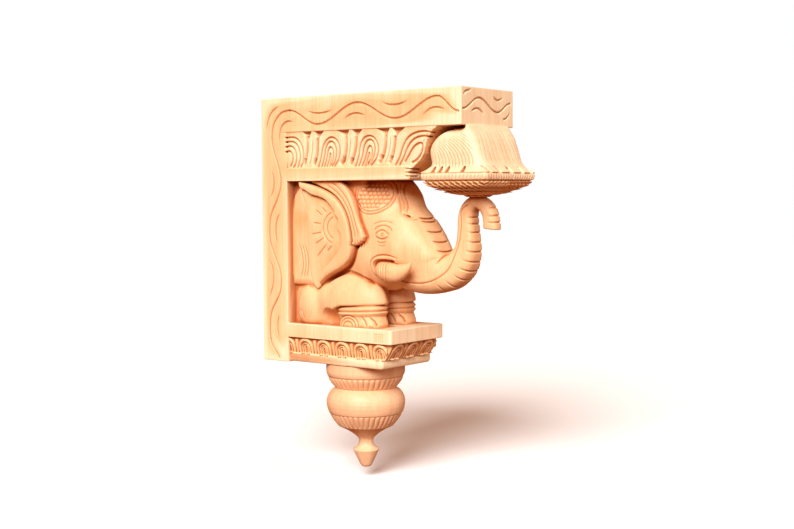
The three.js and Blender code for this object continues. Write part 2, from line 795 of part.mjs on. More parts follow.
function carvedBracket() {
  const shelf = ledge();
  const animal = elephant();
  const shelfSolid = joined(shelf.solids).subtract(joined(shelf.cuts));
  const animalSolid = joined(animal.solids).subtract(joined(animal.cuts));
  const frame = frameBlock().subtract(joined(frameGrooves()));
  const lotus = lotusBoss().subtract(joined(lotusGrooves()));
  return joined([frame, friezeBlock(), shelfSolid, lotus, animalSolid]);
}

// Turned pendant: radius against depth below the ledge, with fluted bands
const fluteCount = 16;
const pendantColumns = 2 * fluteCount;
const pendantProfile = [
  [0, 1.0, 0], [0.11, 1.0, 0], [0.125, 0.91, 0], [0.14, 0.9, 0.02], [0.235, 0.81, 0.03],
  [0.3, 0.95, 0], [0.37, 0.995, 0], [0.49, 0.93, 0], [0.5, 0.91, 0.02],
  [0.585, 0.77, 0.04], [0.605, 0.6, 0], [0.665, 0.36, 0],
  [0.74, 0.18, 0], [0.835, 0.33, 0], [1.0, 0.14, 0],
];

function turnedPendant() {
  const rings = pendantProfile.map(([depth, width, flute]) => ringAt(pendantColumns, (angle) => {
    const ripple = flute * Math.cos(fluteCount * angle);
    const radius = collarRadius * (width + ripple);
    const up = ledgeRise - pendantGap - depth * (pendantDrop + ledgeRise - pendantGap);
    return plain(pendantAxis + radius * Math.cos(angle), up, radius * Math.sin(angle));
  }));
  return loft(rings);
}

// Scene graph
const paleWood = new THREE.MeshStandardMaterial({ color: 0xf0c690, roughness: 0.62, metalness: 0 });
const turnedWood = new THREE.MeshStandardMaterial({ color: 0xf2c894, roughness: 0.55, metalness: 0 });

function namedMesh(name, solid, material) {
  const mesh = new THREE.Mesh(toGeometry(solid), material);
  mesh.name = name;
  mesh.position.z = -plateHeight / 2;
  return mesh;
}

const bracket = new THREE.Group();
bracket.add(namedMesh('carved_bracket', carvedBracket(), paleWood));
bracket.add(namedMesh('turned_pendant', turnedPendant(), turnedWood));

export default bracket;
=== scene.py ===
"""Carved elephant bracket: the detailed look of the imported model.

The bracket is cut from one block of pale wood, so it is sculpted here as one field of
distances, in millimetres, and then meshed as one piece. Every shape is drawn as
(out, up, side): out is the distance from the wall, up the height above the foot of the back
plate, side the distance from the middle plane. Both sides are alike, so only one is sculpted,
apart from the waves on the end of the beam, which are cut in the whole block.
"""
import math

import bpy
import numpy as np
import openvdb
from mathutils import Matrix, Vector


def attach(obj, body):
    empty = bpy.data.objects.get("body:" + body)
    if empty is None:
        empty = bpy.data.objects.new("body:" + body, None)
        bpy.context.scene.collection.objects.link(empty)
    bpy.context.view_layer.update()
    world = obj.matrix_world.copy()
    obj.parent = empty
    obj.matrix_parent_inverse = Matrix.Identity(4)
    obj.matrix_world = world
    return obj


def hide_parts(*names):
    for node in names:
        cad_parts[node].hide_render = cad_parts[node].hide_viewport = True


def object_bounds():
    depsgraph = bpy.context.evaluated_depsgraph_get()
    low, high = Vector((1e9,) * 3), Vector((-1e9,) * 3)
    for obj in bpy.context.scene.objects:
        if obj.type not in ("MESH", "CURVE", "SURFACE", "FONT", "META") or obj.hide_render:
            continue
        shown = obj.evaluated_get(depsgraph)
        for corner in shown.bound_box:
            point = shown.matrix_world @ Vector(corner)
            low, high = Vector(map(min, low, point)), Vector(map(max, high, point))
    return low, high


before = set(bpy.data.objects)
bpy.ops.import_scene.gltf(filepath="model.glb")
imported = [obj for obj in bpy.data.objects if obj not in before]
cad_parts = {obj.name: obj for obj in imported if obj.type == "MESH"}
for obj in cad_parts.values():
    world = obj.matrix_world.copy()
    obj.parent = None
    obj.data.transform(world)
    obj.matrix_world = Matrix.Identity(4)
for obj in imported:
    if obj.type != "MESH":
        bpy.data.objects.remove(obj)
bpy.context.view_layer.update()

# Frame, as in the CAD source, in millimetres
HALF_WIDTH = 44.0
PLATE_HEIGHT = 272.0
PLATE_THICKNESS = 35.0
BEAM_LENGTH = 254.0
BEAM_FOOT = 236.5
FRIEZE_FOOT = 200.0
FILLET_FOOT = 186.5
FILLET_END = 193.0
LEDGE_TOP = 40.5
MOULD_TOP = 26.0
LIP_TOP = 10.0
LEDGE_END = 170.0
LOTUS_CENTRE = 243.0
LOTUS_FOOT = 170.5
LOTUS_REACH = 38.0
LOTUS_SIDE = 43.5
PENDANT_AXIS = 102.5
PENDANT_DROP = 108.0

# Field of distances
VOXEL = 0.52
GRID_LOW = (-2.2, -1.6)
GRID_HIGH = (284.0, 274.4)
GRID_SIDE = 47.0
FAR = 6.0
MOST_TRIANGLES = 188000
CREVICE_REACH = 2
HOLLOW_REACH = 9
NEAR = 0.3


def steps(low, high, count):
    return [low + (high - low) * i / count for i in range(count + 1)]


def arc(centre, radii, first, last, count):
    """Part of an oval, between two angles in degrees."""
    return [(centre[0] + radii[0] * math.cos(a), centre[1] + radii[1] * math.sin(a))
            for a in steps(math.radians(first), math.radians(last), count)]


def smoothstep(low, high, value):
    t = np.clip((value - low) / (high - low), 0, 1)
    return t * t * (3 - 2 * t)


def smoothed(points, pieces=5):
    """A smooth curve through the points."""
    p = np.array(points, float)
    ends = np.vstack([2 * p[0] - p[1], p, 2 * p[-1] - p[-2]])
    curve = []
    for i in range(len(p) - 1):
        a, b, c, d = ends[i : i + 4]
        for t in np.arange(pieces) / pieces:
            curve.append(
                0.5 * (2 * b + (c - a) * t + (2 * a - 5 * b + 4 * c - d) * t**2
                       + (3 * b - a - 3 * c + d) * t**3)
            )
    curve.append(p[-1])
    return np.array(curve)


def waved(turns, pieces=9):
    """A waving line that is level at each of its turns."""
    path = []
    for (a0, b0), (a1, b1) in zip(turns, turns[1:]):
        for t in np.arange(pieces) / pieces:
            path.append((a0 + (a1 - a0) * t, b0 + (b1 - b0) * (1 - math.cos(math.pi * t)) / 2))
    return np.array(path + [turns[-1]])


def line_distance(a, b, path):
    """Distance from each point to a path, and the place along it, from 0 to 1."""
    path = np.asarray(path, float)
    runs = np.hypot(*(path[1:] - path[:-1]).T)
    starts = np.concatenate([[0], np.cumsum(runs)])
    best = np.full(np.broadcast(a, b).shape, 1e9)
    place = np.zeros_like(best)
    for i, run in enumerate(runs):
        if run < 1e-9:
            continue
        (a0, b0), (a1, b1) = path[i], path[i + 1]
        t = np.clip(((a - a0) * (a1 - a0) + (b - b0) * (b1 - b0)) / run**2, 0, 1)
        d = (a - a0 - t * (a1 - a0)) ** 2 + (b - b0 - t * (b1 - b0)) ** 2
        nearer = d < best
        best = np.where(nearer, d, best)
        place = np.where(nearer, (starts[i] + t * run) / starts[-1], place)
    return np.sqrt(best), place


def outline_distance(a, b, outline):
    """Signed distance to a closed outline, negative inside."""
    p = np.asarray(outline, float)
    q = np.roll(p, -1, axis=0)
    d, _ = line_distance(a, b, np.vstack([p, p[:1]]))
    inside = np.zeros(d.shape, bool)
    for (a0, b0), (a1, b1) in zip(p, q):
        if b0 == b1:
            continue
        crossing = (b0 > b) != (b1 > b)
        inside ^= crossing & (a < (a1 - a0) * (b - b0) / (b1 - b0) + a0)
    return np.where(inside, -d, d)


def between(table, value):
    """Values of a short table of [place, value] at each place."""
    places, values = zip(*table)
    return np.interp(value, places, values)


def merged(first, second, soft):
    """Union of two fields, with a fillet of about the soft width."""
    if soft <= 0:
        return np.minimum(first, second)
    h = np.clip(0.5 + 0.5 * (first - second) / soft, 0, 1)
    return first * (1 - h) + second * h - soft * h * (1 - h)


def met(first, second, soft):
    """What two fields share, with its edge rounded."""
    return -merged(-first, -second, soft)


def evened(field):
    """The field made to grow by about one millimetre for each millimetre from its surface."""
    slopes = np.gradient(field, VOXEL)
    steepness = np.sqrt(sum(slope * slope for slope in slopes))
    return field / np.clip(steepness, 0.25, 4)


def ellipsoid(centre, radii):
    """Field of a ball with three radii, and the low and high corners of its box."""
    def shape(u, z, x):
        p = (u - centre[0]) / radii[0]
        q = (z - centre[1]) / radii[1]
        r = (x - centre[2]) / radii[2]
        k0 = np.sqrt(p * p + q * q + r * r)
        k1 = np.sqrt((p / radii[0]) ** 2 + (q / radii[1]) ** 2 + (r / radii[2]) ** 2)
        return k0 * (k0 - 1) / np.maximum(k1, 1e-6)

    reach = max(radii[:2])
    low = (centre[0] - reach, centre[1] - reach, centre[2] - radii[2])
    high = (centre[0] + reach, centre[1] + reach, centre[2] + radii[2])
    return shape, low, high


def line_mark(d, place, width, depth, fade=0.0, fade_end=None):
    """Depth of a rounded line at a distance from its path, fading in and out along it."""
    mark = depth * np.clip(1 - (d / width) ** 2, 0, 1)
    if fade_end is None:
        fade_end = fade
    if fade > 0:
        mark *= smoothstep(0, fade, place)
    if fade_end > 0:
        mark *= smoothstep(0, fade_end, 1 - place)
    return mark


class Sculpt:
    """One side of the bracket as a grid of distances to its surface.

    A window is the part of the grid round a shape. Soft is the width of a fillet. A path seen
    from the side is cut only where the side distance is between near and far.
    """

    def __init__(self):
        self.u = np.arange(GRID_LOW[0], GRID_HIGH[0], VOXEL)
        self.z = np.arange(GRID_LOW[1], GRID_HIGH[1], VOXEL)
        self.x = (np.arange(int(GRID_SIDE / VOXEL)) + 0.5) * VOXEL
        self.field = np.full((len(self.u), len(self.z), len(self.x)), FAR, np.float32)

    def window(self, low, high, margin=3.0):
        cut = []
        for axis, a, b in zip((self.u, self.z, self.x), low, high):
            first, last = np.searchsorted(axis, (a - margin, b + margin))
            cut.append(slice(int(first), int(max(last, first + 1))))
        return tuple(cut)

    def axes(self, cut):
        return (
            self.u[cut[0]][:, None, None],
            self.z[cut[1]][None, :, None],
            self.x[cut[2]][None, None, :],
        )

    def flat(self, cut):
        return self.u[cut[0]][:, None], self.z[cut[1]][None, :]

    def add(self, shape, low, high, soft=0.0):
        cut = self.window(low, high, soft + 3)
        self.field[cut] = merged(self.field[cut], shape(*self.axes(cut)), soft)

    def take(self, shape, low, high, soft=0.0):
        cut = self.window(low, high, soft + 3)
        self.field[cut] = met(self.field[cut], -shape(*self.axes(cut)), soft)

    def ball(self, centre, radii, soft):
        self.add(*ellipsoid(centre, radii), soft)

    def block(self, outline, side, edge, low, high):
        """Joins on an outline seen from the side, from the middle plane out to a side distance."""
        cut = self.window(low, high)
        flat = outline_distance(*self.flat(cut), outline)
        shape = met(flat[:, :, None], self.x[cut[2]][None, None, :] - side, edge)
        self.field[cut] = merged(self.field[cut], shape, 0)

    def engrave(self, path, width, depth, near=0.0, far=60.0, fade=0.0, fade_end=None):
        """Cuts a rounded line seen from the side; a negative depth raises it."""
        path = np.asarray(path, float)
        low = (*(path.min(axis=0) - width), near)
        high = (*(path.max(axis=0) + width), far)
        cut = self.window(low, high, 1)
        d, place = line_distance(*self.flat(cut), path)
        mark = line_mark(d, place, width, depth, fade, fade_end)
        x = self.x[cut[2]]
        gate = smoothstep(near - 0.5, near + 0.5, x) * smoothstep(-far - 0.5, -far + 0.5, -x)
        self.field[cut] += (mark[:, :, None] * gate).astype(np.float32)

    def engrave_all(self, paths, width, depth, **limits):
        """Cuts a smooth line through the points of each path."""
        for path in paths:
            self.engrave(smoothed(path), width, depth, **limits)

    def engrave_end(self, path, width, depth, near_out, far_out, fade=0.0, fade_end=None):
        """Cuts a line seen from the front, as (side, up), between two distances from the wall."""
        path = smoothed(path)
        low = (near_out, path[:, 1].min() - width, path[:, 0].min() - width)
        high = (far_out, path[:, 1].max() + width, path[:, 0].max() + width)
        cut = self.window(low, high, 1)
        d, place = line_distance(self.x[cut[2]][None, :], self.z[cut[1]][:, None], path)
        mark = line_mark(d, place, width, depth, fade, fade_end)
        self.field[cut] += mark[None].astype(np.float32)

    def sink(self, outline, depth, slope):
        """Sinks an outline into the side face, deeper towards its middle."""
        outline = np.asarray(outline, float)
        low = (*outline.min(axis=0), HALF_WIDTH - depth)
        cut = self.window(low, (*outline.max(axis=0), GRID_SIDE), 2)
        inside = -outline_distance(*self.flat(cut), outline)
        floor = HALF_WIDTH - np.minimum(depth, np.clip(inside + 0.3, 0, None) / slope)
        hole = np.maximum(-inside[:, :, None], floor[:, :, None] - self.x[cut[2]][None, None, :])
        self.field[cut] = np.maximum(self.field[cut], -hole)

    def relief(self, outline, face, low_side, soft=0.0, edge=1.2):
        """A raised panel on the side, from low_side out to face(u, z, depth in from its edge)."""
        outline = np.asarray(outline, float)
        low = (*outline.min(axis=0), low_side)
        high = (*outline.max(axis=0), GRID_SIDE)
        cut = self.window(low, high, soft + 3)
        flat = outline_distance(*self.flat(cut), outline)
        top = face(*self.flat(cut), -flat)
        x = self.x[cut[2]][None, None, :]
        shape = met(flat[:, :, None], x - top[:, :, None], edge)
        shape = np.maximum(shape, low_side - x)
        self.field[cut] = merged(self.field[cut], shape, soft)


# Frame
SIDE_WAVES = [
    waved([(39, 258.5), (78, 243), (129, 262.5), (177, 245), (226, 264), (250.5, 249)]),
    smoothed([
        (39, 258.5), (30, 257.2), (24.5, 254), (20, 249.5), (17, 245), (15, 238), (14.5, 230),
        (16, 222), (19, 213), (23, 203), (26, 192), (26.2, 182), (23.5, 173), (19, 164), (14, 156),
        (11.3, 149), (10, 140), (10, 130), (11.5, 122), (15, 114), (20, 104), (24, 95), (25.8, 85),
        (24, 72), (19, 63), (13, 54), (10, 45), (9, 33), (10, 22), (13, 15), (18, 9), (22, 4),
    ], 2),
]
SIDE_ARCS = [
    [(28, 264), (20, 261.5), (15, 258), (11, 253), (8, 246), (6.5, 237)],
    [(48, 246), (38, 247.6), (31, 245), (27, 240), (25, 232), (25.5, 224)],
    [(62, 258), (71, 255), (80, 254), (90, 255), (100, 257.5)],
    [(158, 263), (166, 259.3), (175, 258), (184, 259), (194, 262.5)],
    [(110, 245), (119, 250.5), (129, 252), (142, 249)],
    [(207, 244.5), (216, 251.5), (226, 253.5), (238, 250.5)],
    [(14.5, 199), (16.5, 188), (15.8, 178), (10.5, 168)],
    [(9, 107), (13, 99), (14.5, 90), (14, 80), (11, 71), (8, 63)],
    [(27, 156), (21, 148), (18.8, 138), (19, 130), (21.5, 121)],
    [(23, 50), (20.5, 42), (20, 36), (20.5, 30), (23, 23)],
]
SCRIBED = [(28, 236.3), (35, 236.3)]
END_WAVES = [
    waved([(-41, 251.5), (-14, 262.5), (17, 250), (39, 259.5)]),
]
END_ARCS = [
    [(9, 265.5), (14, 262.3), (19, 261.8), (27, 264.5)],
    [(-29, 248.5), (-21, 251.8), (-14, 252), (-4, 246.5)],
    [(-41, 264), (-36, 267.5), (-27, 269.5)],
    [(25, 243.5), (33, 245.5), (39, 250.5)],
]
EDGE = 0.9
WAVE_WIDTH = 1.25
WAVE_DEPTH = 1.5
ARC_WIDTH = 1.15
ARC_DEPTH = 1.3
KNOT = (10, 22)


def carve_frame(s):
    outline = [
        (0, 0), (PLATE_THICKNESS, 0), (PLATE_THICKNESS, BEAM_FOOT), (BEAM_LENGTH, BEAM_FOOT),
        (BEAM_LENGTH, PLATE_HEIGHT), (0, PLATE_HEIGHT),
    ]
    s.block(outline, HALF_WIDTH, EDGE, (0, 0, 0), (BEAM_LENGTH, PLATE_HEIGHT, HALF_WIDTH))
    for path in SIDE_WAVES:
        s.engrave(path, WAVE_WIDTH, WAVE_DEPTH, near=38)
    s.engrave_all(SIDE_ARCS, ARC_WIDTH, ARC_DEPTH, near=38, fade=0.3)
    s.engrave(SCRIBED, 0.6, 0.5, near=38)
    s.engrave([KNOT, (KNOT[0], KNOT[1] + 0.6)], 1.0, 1.6, near=38)


# Frieze of lotus petals
FRIEZE_END = [
    (FILLET_END, FILLET_FOOT), (194.5, 190), (193, 193), (195.5, 196.5), (200, 200), (206, 205),
    (210, 211), (212, 218), (215, 226), (220, 232), (228, 237.5),
]
PETAL_RINGS = [
    [(34, 231), (44, 231), (51, 228), (55.5, 222), (57.5, 214), (56.5, 206), (54, 201)],
    [(34, 226.5), (43, 226.5), (49, 223), (52.5, 216), (52.5, 208), (50, 201)],
    [(34, 221.5), (41, 222), (46, 218), (48, 211), (46.5, 204), (44, 201)],
    [(34, 216.5), (39, 217), (42.5, 213), (42.5, 207), (40, 202)],
    [(78, 201), (81, 209), (83, 218), (87.5, 226), (94, 229.5), (101, 227.5), (105.5, 221),
     (106, 213), (103.5, 206), (99, 201)],
    [(82.3, 201), (85.5, 210), (87.5, 219), (91, 224), (95.5, 225.3), (100, 221.5), (101.5, 214),
     (99.5, 206), (95.7, 201)],
    [(86, 201), (89, 210), (90.5, 216), (93.5, 219.8), (97, 217), (97.5, 211), (95.5, 205), (92.5, 201)],
    [(89.2, 201), (91.8, 208), (93.6, 213.5), (94.2, 209), (92.3, 203)],
    [(126.5, 201), (130.5, 211), (132.5, 221), (137, 227.5), (144, 229.5), (150.5, 227), (154.5, 220.5),
     (154.5, 213), (151.5, 206), (146, 201)],
    [(130.8, 201), (134.8, 210), (137, 219), (141, 224.6), (146, 225.5), (150, 221.5), (150.5, 214),
     (147.5, 206.5), (142.3, 201)],
    [(135, 201), (138.8, 209), (141.3, 216), (144.3, 219.6), (147, 217), (147, 211.5), (144, 205.5),
     (139.8, 201)],
    [(138, 201), (141, 207), (143.8, 213), (144, 209), (141, 203)],
    [(176.5, 201), (181, 208), (184.3, 216), (188.5, 223.5), (195, 228.7), (203, 231.2), (211, 231.7),
     (218.5, 230.5)],
    [(181.5, 201), (186, 208), (190, 216), (195, 222.2), (201, 225.8), (208, 227.2), (214.5, 226.8)],
    [(188, 204), (192.5, 210), (196.5, 215.5), (201, 219.3), (206.8, 220.8), (208.6, 217), (206.8, 211),
     (202.5, 206), (196.5, 202.8)],
]
PETAL_GAPS = [
    [(62.5, 230), (62.8, 220), (61, 210), (58, 201)],
    [(77, 228), (76.6, 219), (75, 210), (71.5, 201)],
    [(114.3, 229), (114.6, 219), (112, 209), (107, 202)],
    [(127.5, 228), (126.5, 219), (123.8, 210), (119.5, 201)],
    [(164.5, 229), (163.8, 219), (161, 210), (155.5, 202)],
    [(176, 227), (174.8, 219), (172.5, 210), (168.5, 201.5)],
]
LEAF_RIBS = [
    [(70.5, 230), (70, 220), (68.3, 210), (65.5, 202)],
    [(120, 230), (119.4, 220), (117.4, 210), (113.5, 202)],
    [(170.5, 230), (169.6, 220), (167, 210), (163, 202)],
]
TOP_POCKETS = [
    [(56, 236.5), (60.5, 232), (63, 227), (66, 230), (69.5, 236.5)],
    [(72.5, 236.5), (76, 230), (78, 226), (80.5, 231), (86, 236.5)],
    [(101, 236.5), (110, 232), (114.5, 226), (116.5, 231), (119, 236.5)],
    [(121.5, 236.5), (125.5, 231), (128, 226), (130.5, 231), (136, 236.5)],
    [(152, 236.5), (160, 232), (164.5, 226), (167, 231), (170, 236.5)],
    [(172, 236.5), (175, 231), (177, 226), (181, 231), (189, 236.5)],
]
GAP_CRESCENTS = [
    ([(112.5, 212), (110.5, 206), (105.5, 201.8)], 2.6), ([(74.3, 210), (72, 203)], 1.8),
    ([(122.8, 209), (120.5, 203.5)], 2.2), ([(160.5, 211), (157.5, 206)], 1.9),
    ([(172, 210), (170, 205)], 1.7), ([(60.8, 210), (58.6, 203)], 1.7),
]


def carve_frieze(s):
    inside = PLATE_THICKNESS - 2
    end = [(inside, FRIEZE_FOOT - 2), (FILLET_END, FRIEZE_FOOT - 2), *FRIEZE_END[3:],
           (inside, BEAM_FOOT + 1)]
    fillet = [(inside, FILLET_FOOT), *FRIEZE_END[:4], (FILLET_END, FRIEZE_FOOT), (inside, FRIEZE_FOOT)]
    for outline, side in ((end, HALF_WIDTH - 0.8), (fillet, HALF_WIDTH)):
        s.block(outline, side, EDGE, (inside, FILLET_FOOT, 0), (230, BEAM_FOOT, HALF_WIDTH))
    for pocket in TOP_POCKETS:
        s.sink(pocket, 4.5, 0.45)
    s.engrave_all(PETAL_GAPS, 2.2, 3.2, near=34, fade_end=0.12)
    for path, width in GAP_CRESCENTS:
        s.engrave(smoothed(path), width + 0.8, 2.4, near=34, fade=0.35)
    s.engrave_all(PETAL_RINGS, 1.25, 2.0, near=34)
    s.engrave_all(LEAF_RIBS, 1.0, 0.8, near=34, fade=0.25, fade_end=0.1)
    for height in (189.5, 193, 196.5):
        s.engrave([(187, height + 0.5), (197, height)], 0.9, 1.6, near=30, fade_end=0, fade=0.4)
    s.engrave(smoothed([(201, 203), (204, 207), (207, 213), (209, 221), (214, 229)]), 1.0, 0.8, near=24)


# Lotus boss
LIP_SCALE = [
    # up, share of the full reach
    (LOTUS_FOOT - 2, 0.22), (LOTUS_FOOT, 0.27), (172, 0.43), (174.5, 0.60), (178, 0.79),
    (181.5, 0.905), (184.4, 0.955), (186, 0.985), (189, 1.0), (191.6, 0.998),
]
BELL_FRONT = [(z, LOTUS_CENTRE + LOTUS_REACH * scale) for z, scale in LIP_SCALE] + [
    (192.8, 281.4), (194, 279.6), (196, 277.2), (198, 275.2), (201, 272.8), (205, 270.6), (212, 268.2),
    (218, 266.2), (224, 263.8), (230, 260.3), (234, 257.3), (236.5, 255.5), (239, 255),
]
BELL_BACK = [(z, LOTUS_CENTRE - LOTUS_REACH * scale) for z, scale in LIP_SCALE] + [
    (192.8, 204), (194, 206), (196, 209), (198, 211), (200, 212), (203, 212.2), (206, 211.4),
    (210, 210.6), (214, 210.8), (218, 212), (221, 214), (224, 217), (227, 220.4), (230, 225),
    (232, 229.8), (233.4, 235), (234.4, 243), (239, 246),
]
BELL_SIDE = [(z, LOTUS_SIDE * scale) for z, scale in LIP_SCALE] + [
    (192.8, 43.0), (194, 41.8), (196, 40.6), (198, 39.8), (201, 39.2), (206, 39.4), (212, 39.9),
    (218, 40.1), (224, 39.9), (227, 39.2), (229.5, 38), (231.5, 36), (233, 33), (234.2, 29), (239, 27),
]
SHEET_SIDE = [(z, width) for z, width in BELL_SIDE if z < 222] + [(226, 40), (232, 39.4), (239, 39)]
# Squareness of the lotus at each height
BELL_POWER = [(170, 3), (176, 8), (184, 24), (192.8, 30), (195, 16), (199, 8), (228, 7), (239, 5)]
FRONT_SHEET = 253.0
LIP_CREST = 192.4
LIP_FOOT = 184.4
SCALES_HEIGHT = 13.5
SCALE_ROWS = 4
SCALE_PITCH = 6.6
LIP_SCALE_PITCH = 4.2
SIDE_GAPS = (219, 227, 235, 253)
END_GAPS = (0, 19, 35)
GAP_HEIGHT = 6.0
GAP_LEAN = 0.35
STRANDS = 15
STRAND_PITCH = 3.8
STRAND_CENTRE = (216.5, 199.5)
END_STRANDS = (5, 12, 19, 26, 32)


def petal_gaps(along, up, gaps):
    """How far the dark gaps between the tips of the petals are cut back."""
    cut = np.full(np.broadcast(along, up).shape, 0.0)
    for middle in gaps:
        reach = 2.3 * (1 - np.clip((up - LIP_CREST) / GAP_HEIGHT, 0, 1)) ** 0.6
        lean = middle + GAP_LEAN * (up - LIP_CREST)
        cut = np.maximum(cut, 3.0 * smoothstep(0.9, -0.5, np.abs(along - lean) - reach))
    return cut * smoothstep(199.0, 197.6, up)


def carve_lotus(s):
    low = (LOTUS_CENTRE - LOTUS_REACH, LOTUS_FOOT - 1, 0)
    high = (LOTUS_CENTRE + LOTUS_REACH, BEAM_FOOT + 1, HALF_WIDTH)
    cut = s.window(low, high, 2)
    u, z, x = s.axes(cut)
    front, back = between(BELL_FRONT, z), between(BELL_BACK, z)
    power = between(BELL_POWER, z)

    # The top of the sides is rounded off behind the sheet that falls over the front
    sheet = smoothstep(FRONT_SHEET - 8, FRONT_SHEET + 5, u)
    side = between(BELL_SIDE, z) * (1 - sheet) + between(SHEET_SIDE, z) * sheet
    reach = (front - back) / 2
    a = np.abs(u - (front + back) / 2) / reach
    d = ((a**power + (x / side) ** power) ** (1 / power) - 1) * np.minimum(reach, side)
    d = np.maximum(evened(d), np.maximum(LOTUS_FOOT - 1 - z, z - BEAM_FOOT - 1))
    on_end = np.abs(u - LOTUS_CENTRE) / LOTUS_REACH > x / LOTUS_SIDE
    along = np.where(on_end, x, u - LOTUS_CENTRE)

    # Rows of slanting scales under the lip
    down = (LIP_FOOT - z) / SCALES_HEIGHT * SCALE_ROWS
    in_row = down - np.floor(down)
    turn = along / SCALE_PITCH - 0.2 * (LIP_FOOT - z)
    local = 2 * (turn - np.floor(turn)) - 1
    scale = 2.6 * (1 - np.abs(local) ** 1.8) * (1 - 0.60 * in_row)
    foot = smoothstep(185.0, 184.2, z) * smoothstep(LOTUS_FOOT - 1, LOTUS_FOOT + 1.5, z)
    d = d + foot * (1.3 - scale + 0.6 * smoothstep(0.86, 1.0, in_row))

    # Blunt scales round the edge of the lip
    turn = along / LIP_SCALE_PITCH + 0.35 * (191 - z) / 6
    local = 2 * (turn - np.floor(turn)) - 1
    d = d + smoothstep(185.2, 186.0, z) * smoothstep(191.6, 190.6, z) * np.abs(local) ** 4
    d = d + 1.5 * np.clip(1 - ((z - 185.1) / 0.9) ** 2, 0, 1)
    d = d + 1.1 * np.clip(1 - ((z - 191.9) / 0.7) ** 2, 0, 1)

    # Tips of the petals above the lip
    on_front = u > 262 + 0.12 * x
    gaps = np.where(on_front, petal_gaps(x, z, END_GAPS), petal_gaps(u, z, SIDE_GAPS))
    d = d + gaps * smoothstep(191.8, 192.6, z)
    s.field[cut] = merged(s.field[cut], d, 0)

    # Strands that sweep over the sides of the bell and fall to the tips
    for i in range(STRANDS):
        across = 5.0 + STRAND_PITCH * i
        rise = 14 + 0.36 * across
        path = [(out, up) for out, up in arc(STRAND_CENTRE, (across, rise), 110, -20, 30)
                if 194 < up < 234 and 211 < out < 266]
        if len(path) > 2:
            s.engrave(path, 0.85, 0.45, near=29, fade=0.05, fade_end=0.1)
    for side in END_STRANDS:
        path = [(side * 0.84, 234), (side * 0.94, 215), (side, 200)]
        s.engrave_end(path, 1.2, 0.3, 250, 282, fade=0.2)


# Ledge
ARCH_PITCH = 24.5
FIRST_ARCH = 56.0


def small_arch(across, up):
    """How far the moulding is cut back at one place of its row of small arches."""
    half, top, shoulder = 9.6, 15.8, 6.4
    rise = np.clip((up - shoulder) / (top - shoulder), 0, 2)
    arch = np.where(up > shoulder, np.sqrt((across / half) ** 2 + rise**2), np.abs(across) / half)
    d = (1 - arch) * half
    thick = 3.0 + 1.6 * smoothstep(shoulder, top, up)
    hood = 3.0 - 2.6 * np.sqrt(np.clip(1 - ((d - thick / 2) / (thick / 2)) ** 2, 0, 1))
    inner = 3.4 * smoothstep(-0.3, 0.5, d - thick) * smoothstep(0.2, 1.6, up)
    for place, height in ((2.0, 2.5), (4.4, 2.0)):
        inner = inner - height * np.sqrt(np.clip(1 - ((d - thick - place) / 1.0) ** 2, 0, 1))
    beside = np.abs(np.abs(across) - ARCH_PITCH / 2)
    rib = 3.8 - 3.0 * np.sqrt(np.clip(1 - (beside / 1.6) ** 2, 0, 1)) * smoothstep(15.0, 13.0, up)
    return np.where(d > thick, inner, np.where(d > 0, hood, rib))


def arch_row(along, up, first):
    turn = (along - first) / ARCH_PITCH
    return small_arch((turn - np.round(turn)) * ARCH_PITCH, up)


def carve_ledge(s):
    inside = PLATE_THICKNESS - 3
    cut = s.window((inside, 0, 0), (LEDGE_END + 2, LEDGE_TOP, HALF_WIDTH))
    u, z, x = s.axes(cut)
    back = inside - u

    slab = met(u - LEDGE_END, x - HALF_WIDTH, 4.0)
    slab = met(slab, np.abs(z - (LEDGE_TOP + MOULD_TOP) / 2) - (LEDGE_TOP - MOULD_TOP) / 2, 1.0)
    s.field[cut] = merged(s.field[cut], np.maximum(slab, back), 0)

    height = np.clip((z - LIP_TOP) / (MOULD_TOP - LIP_TOP), 0, 1)
    slope = (1 - height) ** 1.3
    side_cut = arch_row(u[:, :, 0], z[:, :, 0] - LIP_TOP, FIRST_ARCH)[:, :, None]
    end_cut = arch_row(x, z - LIP_TOP, 0.0)
    side = x - (HALF_WIDTH - 0.7 - 3.6 * slope - side_cut)
    end = u - (LEDGE_END - 1.7 - 9.3 * slope - end_cut)
    mould = met(met(side, end, 2.5), np.abs(z - 18) - 8.6, 0.4)
    s.field[cut] = merged(s.field[cut], np.maximum(mould, back), 0)

    nose = 1.9 * np.sqrt(np.clip(1 - ((z - 5.6) / 5.0) ** 2, 0, 1))
    lip = met(x - 38.4 - nose, u - 154.8 - nose, 3.0)
    lip = np.maximum(lip, np.abs(z - 5.25) - 4.75)
    s.field[cut] = merged(s.field[cut], np.maximum(lip, back), 0)

    # A small scribed square on the side
    for height in (28, 36):
        s.engrave([(150, height), (160, height)], 0.5, 0.35, near=40)
    for place in (150, 160):
        s.engrave([(place, 28), (place, 36)], 0.5, 0.35, near=40)


